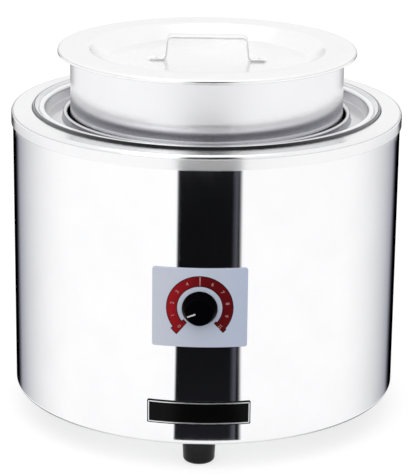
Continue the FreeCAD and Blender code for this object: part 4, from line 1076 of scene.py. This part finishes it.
@dataclass
class PotAndLid:
    """The lift-out pot, and the lid with its strap handle."""

    pot_outline: Corners = ((129.0, 324.0), (129.0, 326.2), (118.8, 326.2), (118.8, 91.3), (0.0, 91.3))
    pot_bends: Row = (0.5, 2.5, 9.0)
    lid_outline: Corners = ((130.8, 323.5), (130.8, 327.5), (103.3, 327.5), (89.3, 316.0), (0.0, 316.0))
    lid_bends: Row = (1.5, 4.0, 4.0)
    plate: float = 1.0
    strap_outline: Corners = (
        (-52.5, 316.0), (-35.5, 316.0), (-33.5, 335.5), (33.5, 335.5), (35.5, 316.0), (52.5, 316.0)
    )
    strap_bend: float = 3.0
    strap_sheet: float = 2.0
    strap_half: float = 7.5
    strap_corner: float = 3.0
    strap_ease: float = 0.5
    strap_loop: int = 24
    strap_end: int = 7
    rivet_place: float = 45.0
    rivet_outline: Corners = ((0.0, 314.2), (2.4, 314.2), (2.4, 317.9), (4.2, 317.9), (4.2, 318.8), (0.0, 319.6))
    rivet_bends: Row = (0.4, 0.1, 0.1, 0.5)
    rivet_steps: int = 48

    def strap(self) -> Surface:
        """Bent strap with eased edges and rounded ends.

        Formula: a slim loop of the strap's width and thickness, carried along the bent line of its lower face;
        near each end the width draws in on a quarter circle.

        Returns:
            The closed strap.
        """
        corners = np.array(self.strap_outline, float)
        runs = np.diff(corners, axis=0)
        outside = np.where(cross(runs[:-1], runs[1:]) > 0, self.strap_sheet, 0.0)
        points, ways = rounded(corners, self.strap_bend + outside)
        count, corner, ease, half = self.strap_end, self.strap_corner, self.strap_ease, self.strap_sheet / 2
        ends = corner * (1.0 - np.cos(np.linspace(0.0, math.pi / 2, count)))[1:, None]
        first, last = points[0] + ways[0] * ends, points[-1] - ways[-1] * ends[::-1]
        path = np.concatenate([points[:1], first, points[1:-1], last, points[-1:]])
        along = np.concatenate([ways[:1].repeat(count, axis=0), ways[1:-1], ways[-1:].repeat(count, axis=0)])
        near = np.minimum(np.linalg.norm(path - path[0], axis=1), np.linalg.norm(path - path[-1], axis=1))
        short = np.clip(corner - near, 0.0, corner)
        width = self.strap_half - corner + np.sqrt(corner ** 2 - short ** 2)
        turn = np.linspace(0.0, 2 * math.pi, self.strap_loop, endpoint=False) + math.pi / (2 * self.strap_loop)
        lean = np.stack([np.cos(turn), np.sin(turn)], axis=-1)
        side = np.sign(lean[:, 0]) * (width[:, None] - ease) + ease * lean[:, 0]
        rise = half + np.sign(lean[:, 1]) * (half - ease) + ease * lean[:, 1]
        lifted = path[:, None] - right_of(along)[:, None] * rise[None, :, None]
        return carried(np.stack([lifted[..., 0], side, lifted[..., 1]], axis=-1))

    def rivets(self) -> Surface:
        """Two low domed rivets through the strap's feet."""
        rivet = turned(solid(self.rivet_outline, self.rivet_bends), self.rivet_steps)
        return joined([rivet.moved((side * self.rivet_place, 0.0, 0.0)) for side in (-1.0, 1.0)])

    def build(self, dresser: Dresser) -> None:
        """Fits the pot, the lid, the handle and its rivets."""
        pot = sheet(self.pot_outline, self.pot_bends, self.plate, to_axis=True)
        lid = sheet(self.lid_outline, self.lid_bends, self.plate, to_axis=True)
        dresser.fit("pot_wall", turned(pot), Body.POT, "pot_steel", ("soup_pot",))
        dresser.fit("lid_pan", turned(lid), Body.LID, "lid_steel", ("lid",))
        dresser.fit("lid_strap", self.strap(), Body.LID, "lid_steel", ("lid_handle",), STRAP_PAINTED_GLARE)
        dresser.fit("strap_rivets", self.rivets(), Body.LID, "lid_steel", ("handle_rivets",))


@dataclass
class Stage:
    """Floor, dark studio cards that the mirror sees, soft light and the camera."""

    eye: Place = (42.259, -1884.948, 737.315)
    pitch: float = 17.2255
    yaw: float = -1.2886
    roll: float = 0.651
    focal: float = 2200.0
    image_height: float = 475.0
    sensor: float = 36.0
    sight: float = 100.0
    floor_reach: float = 9000.0
    floor_level: float = -0.1
    shell_radius: float = 170.2
    card_turn: float = 89.0
    card_lines: int = 713
    card_steps: int = 180
    card_level: float = 1.0
    card_near: float = 62.0
    card_far: float = 2600.0
    card_front: Row = (-7.9, -7.3, 9.2, 10.5)
    card_soft: Row = (40.0, 70.0, 0.64)
    card_edge: Span = (70.0, 76.0)
    card_spread: float = 0.8
    card_reach: float = 320.0
    card_end: Span = (975.0, 1060.0)
    card_rim: Span = (71.5, 76.5)
    card_haze: Row = (0.15, 0.5, 14.6)
    card_step: Row = (7.2, 8.7, 8.9, 9.3, 0.09)
    card_lift: Row = (0.006, 0.016, 150.0)
    card_tint: Colour = (0.80, 0.82, 1.0)
    side_tint: Colour = (0.01, 0.02, 0.09)
    flag_rise: Row = (500.0, 800.0, 5600.0, 7600.0)
    flag_steps: int = 60
    ring_turn: float = 179.0
    ring_lines: int = 359
    ring_steps: int = 40
    ring_span: Row = (120.0, 172.0, 188.0)
    ring_shade: Row = (0.16, 0.60, 20.0, 65.0)
    ambient: float = 0.85
    floor_white: float = 0.40
    floor_glow: float = 0.70
    horizon: Row = (0.03, 0.07, 0.7)
    lamps: tuple[tuple[str, float, float, Place], ...] = (
        ("softbox_above", 4.0, 1.6, (-0.25, -0.35, 1.75)), ("softbox_front", 2.0, 1.2, (-0.9, -1.6, 1.0))
    )
    lamp_aim: Place = (0.0, 0.0, 0.16)

    def world(self) -> None:
        """White surroundings with a soft grey horizon in mirrors, dimmer as a light than as a background.

        Formula: for mirrored rays, one less the depth times exp(-(rise - level) (rise - level) / width / width).
        """
        world = bpy.data.worlds.new("studio")
        world.use_nodes = True
        bpy.context.scene.world = world
        nodes = Nodes(world.node_tree)
        level, width, depth = self.horizon
        look = nodes.add("TexCoord").outputs["Generated"]
        value = nodes.add("SeparateXYZ", {0: look}).outputs["Z"]
        mirrored = nodes.add("LightPath").outputs["Is Glossy Ray"]
        for way, amount in (
            ("SUBTRACT", level), ("DIVIDE", width), ("POWER", 2.0), ("MULTIPLY", -1.0), ("EXPONENT", 0.0),
            ("MULTIPLY", -depth), ("MULTIPLY", mirrored), ("ADD", 1.0),
        ):
            value = nodes.sum(way, value, amount)
        background = world.node_tree.nodes["Background"].inputs
        nodes.feed(background["Color"], value)
        nodes.feed(background["Strength"], nodes.ramp(nodes.seen(), 0.0, 1.0, self.ambient))

    def floor(self) -> None:
        """Plain white floor that glows to white where it is seen, and keeps the shadow."""
        reach, low = self.floor_reach, self.floor_level
        points = np.array([(-reach, -reach, low), (reach, -reach, low), (reach, reach, low), (-reach, reach, low)])
        floor = Surface(points, [np.arange(4)[None]]).thing("studio_floor")
        mixer = Mixer("floor_white")
        mixer.set(Base_Color=(*(self.floor_white,) * 3, 1.0), Roughness=1.0, Specular_IOR_Level=0.0)
        glow = mixer.sum("MULTIPLY", mixer.seen(), self.floor_glow)
        mixer.set(Emission_Color=(1.0, 1.0, 1.0, 1.0), Emission_Strength=glow)
        floor.data.materials.append(mixer.material)

    def cards(self) -> None:
        """Dark card on the floor and dark flag behind the camera, that the polished metal mirrors.

        Formula: from the place at turn t on the shell, the mirrored look of the camera runs over the floor at
        2 t plus the camera's own lean; the card is ruled along these lines, and its shade is a function of t.
        The flag stands up from the far end of the lines.
        """
        turn = np.radians(np.linspace(-self.card_turn, self.card_turn, self.card_lines))[:, None]
        run = np.linspace(self.card_near, self.card_far, self.card_steps)[None]
        distance = math.hypot(self.eye[0], self.eye[1])
        facing = math.atan2(self.eye[0], -self.eye[1])
        lean = np.arctan2(self.shell_radius * np.sin(turn), distance - self.shell_radius * np.cos(turn))
        start, way = turn + facing, 2 * turn + lean + facing
        across = self.shell_radius * np.sin(start) + run * np.sin(way)
        back = -self.shell_radius * np.cos(start) - run * np.cos(way)
        degrees = np.degrees(turn)
        front = self.front_shade(degrees, self.card_spread * np.exp(-run / self.card_reach))
        low, high, depth = self.card_soft
        soft = depth * np.clip((np.abs(degrees) - low) / (high - low), 0.0, None) ** 2
        sides = 1.0 - (1.0 - np.clip(soft, 0.0, 1.0)) * (1.0 - smooth_step(np.abs(degrees), *self.card_edge))
        far = smooth_step(run, *self.card_end)
        deep, middle, width = self.card_haze
        haze = deep * np.exp(-((degrees - middle) / width) ** 2) * far
        rim = smooth_step(np.abs(degrees), *self.card_rim)
        shade = np.maximum(np.maximum(front, sides) * (1.0 - far), np.maximum(haze, rim))
        base, extra, reach = self.card_lift
        first, full, last, end, step = self.card_step
        strip = smooth_step(degrees, first, full) * (1.0 - smooth_step(degrees, last, end))
        lift = front * (base + extra * np.exp(-run / reach) + step * strip)
        blue = 4.0 * sides * (1.0 - sides)
        tint = lift[..., None] * np.array(self.card_tint) + blue[..., None] * np.array(self.side_tint)
        self.card("studio_card", (across, back, self.card_level), shade, tint)
        rise = np.linspace(0.0, self.flag_rise[-1], self.flag_steps)[None]
        stand, fall = smooth_step(rise, *self.flag_rise[:2]), smooth_step(rise, *self.flag_rise[2:])
        shade = self.front_shade(degrees, 0.0) * stand * (1.0 - fall)
        self.card("studio_flag", (across[:, -1:], back[:, -1:], rise), shade)

    def ring(self) -> None:
        """Grey ring on the floor that the shell's bottom bend mirrors as a thin line.

        Formula: the shade grows from the front to the sides by a smooth step of the turn, and fades past the
        shell's radius.
        """
        inner, full, outer = self.ring_span
        front, more, low, high = self.ring_shade
        turn = np.linspace(-self.ring_turn, self.ring_turn, self.ring_lines)[:, None]
        radius = np.linspace(inner, outer, self.ring_steps)[None]
        angle = np.radians(turn)
        shade = (front + more * smooth_step(np.abs(turn), low, high)) * (1.0 - smooth_step(radius, full, outer))
        self.card("studio_ring", (radius * np.sin(angle), -radius * np.cos(angle), self.card_level), shade)

    def front_shade(self, degrees: np.ndarray, spread: Grid) -> np.ndarray:
        """Shade of the middle strip at shell angles, with its edges moved out by a spread."""
        left, right = self.card_front[:2], self.card_front[2:]
        return smooth_step(degrees + spread, *left) * (1.0 - smooth_step(degrees - spread, *right))

    @staticmethod
    def card(name: str, places: tuple[Grid, Grid, Grid], shade: np.ndarray, tint: Grid = 0.0) -> None:
        """One card that only mirrors see.

        Args:
            name: The card's name.
            places: Grids of the points' X, Y and Z in millimetres, which spread over each other.
            shade: How dark the card is at each point, from 0 to 1.
            tint: Faint colour that it gives off at each point.
        """
        points = np.stack(np.broadcast_arrays(*places), axis=-1)
        card = Surface(points.reshape(-1, 3), [grid_faces(*shade.shape, False, False)]).thing(name)
        colour = np.ones((*shade.shape, 4))
        colour[..., :3] = tint
        for key, kind, entry, values in (
            ("shade", "FLOAT", "value", shade), ("tint", "FLOAT_COLOR", "color", colour)
        ):
            layer = card.data.attributes.new(key, kind, "POINT")
            layer.data.foreach_set(entry, values.reshape(-1).astype(np.float32))
        mixer = Mixer(name + "_black")
        dark = mixer.add("Attribute", attribute_name="shade").outputs["Fac"]
        glow = mixer.add("Attribute", attribute_name="tint").outputs["Color"]
        mixer.set(Base_Color=(0.0, 0.0, 0.0, 1.0), Specular_IOR_Level=0.0, Roughness=1.0, Alpha=dark)
        mixer.set(Emission_Color=glow, Emission_Strength=1.0)
        card.data.materials.append(mixer.material)
        card.visible_camera = card.visible_diffuse = card.visible_shadow = card.visible_transmission = False

    def lamp(self, name: str, power: float, size: float, place: Place) -> None:
        """Soft square lamp that looks at the kettle.

        Args:
            name: The lamp's name.
            power: Power in watts.
            size: Side in metres.
            place: Place in metres.
        """
        light = bpy.data.lights.new(name, "AREA")
        light.energy, light.size = power, size
        lamp = linked(name, light)
        lamp.location = place
        lamp.rotation_euler = (Vector(self.lamp_aim) - Vector(place)).to_track_quat("-Z", "Y").to_euler()

    def camera(self) -> None:
        """Camera at the fitted place and lean."""
        data = bpy.data.cameras.new("camera")
        data.sensor_width = self.sensor
        data.lens = self.focal / self.image_height * self.sensor
        data.clip_end = self.sight
        pitch, yaw, roll = (math.radians(angle) for angle in (self.pitch, self.yaw, self.roll))
        ahead = Vector((math.sin(yaw) * math.cos(pitch), math.cos(yaw) * math.cos(pitch), -math.sin(pitch)))
        right = Vector((math.cos(yaw), -math.sin(yaw), 0.0))
        above = right.cross(ahead)
        level = right * math.cos(roll) + above * math.sin(roll)
        upright = above * math.cos(roll) - right * math.sin(roll)
        camera = linked("camera", data)
        rotation = Matrix((level, upright, -ahead)).transposed()
        camera.matrix_world = Matrix.Translation(Vector(self.eye) * MM) @ rotation.to_4x4()
        bpy.context.scene.camera = camera

    def build(self) -> None:
        """Sets the stage."""
        bpy.context.scene.view_settings.view_transform = "Standard"
        self.world()
        self.floor()
        self.cards()
        self.ring()
        for lamp in self.lamps:
            self.lamp(*lamp)
        self.camera()


def main() -> None:
    """Builds the stage and the sub-assemblies in order, and dresses the CAD nodes."""
    logging.basicConfig(level=logging.INFO, format="%(name)s: %(message)s")
    dresser = Dresser()
    Stage().build()
    dresser.dress_nodes()
    for assembly in (Housing(), Control(), NamePlate(), PotAndLid()):
        assembly.build(dresser)


if __name__ == "__main__":
    main()
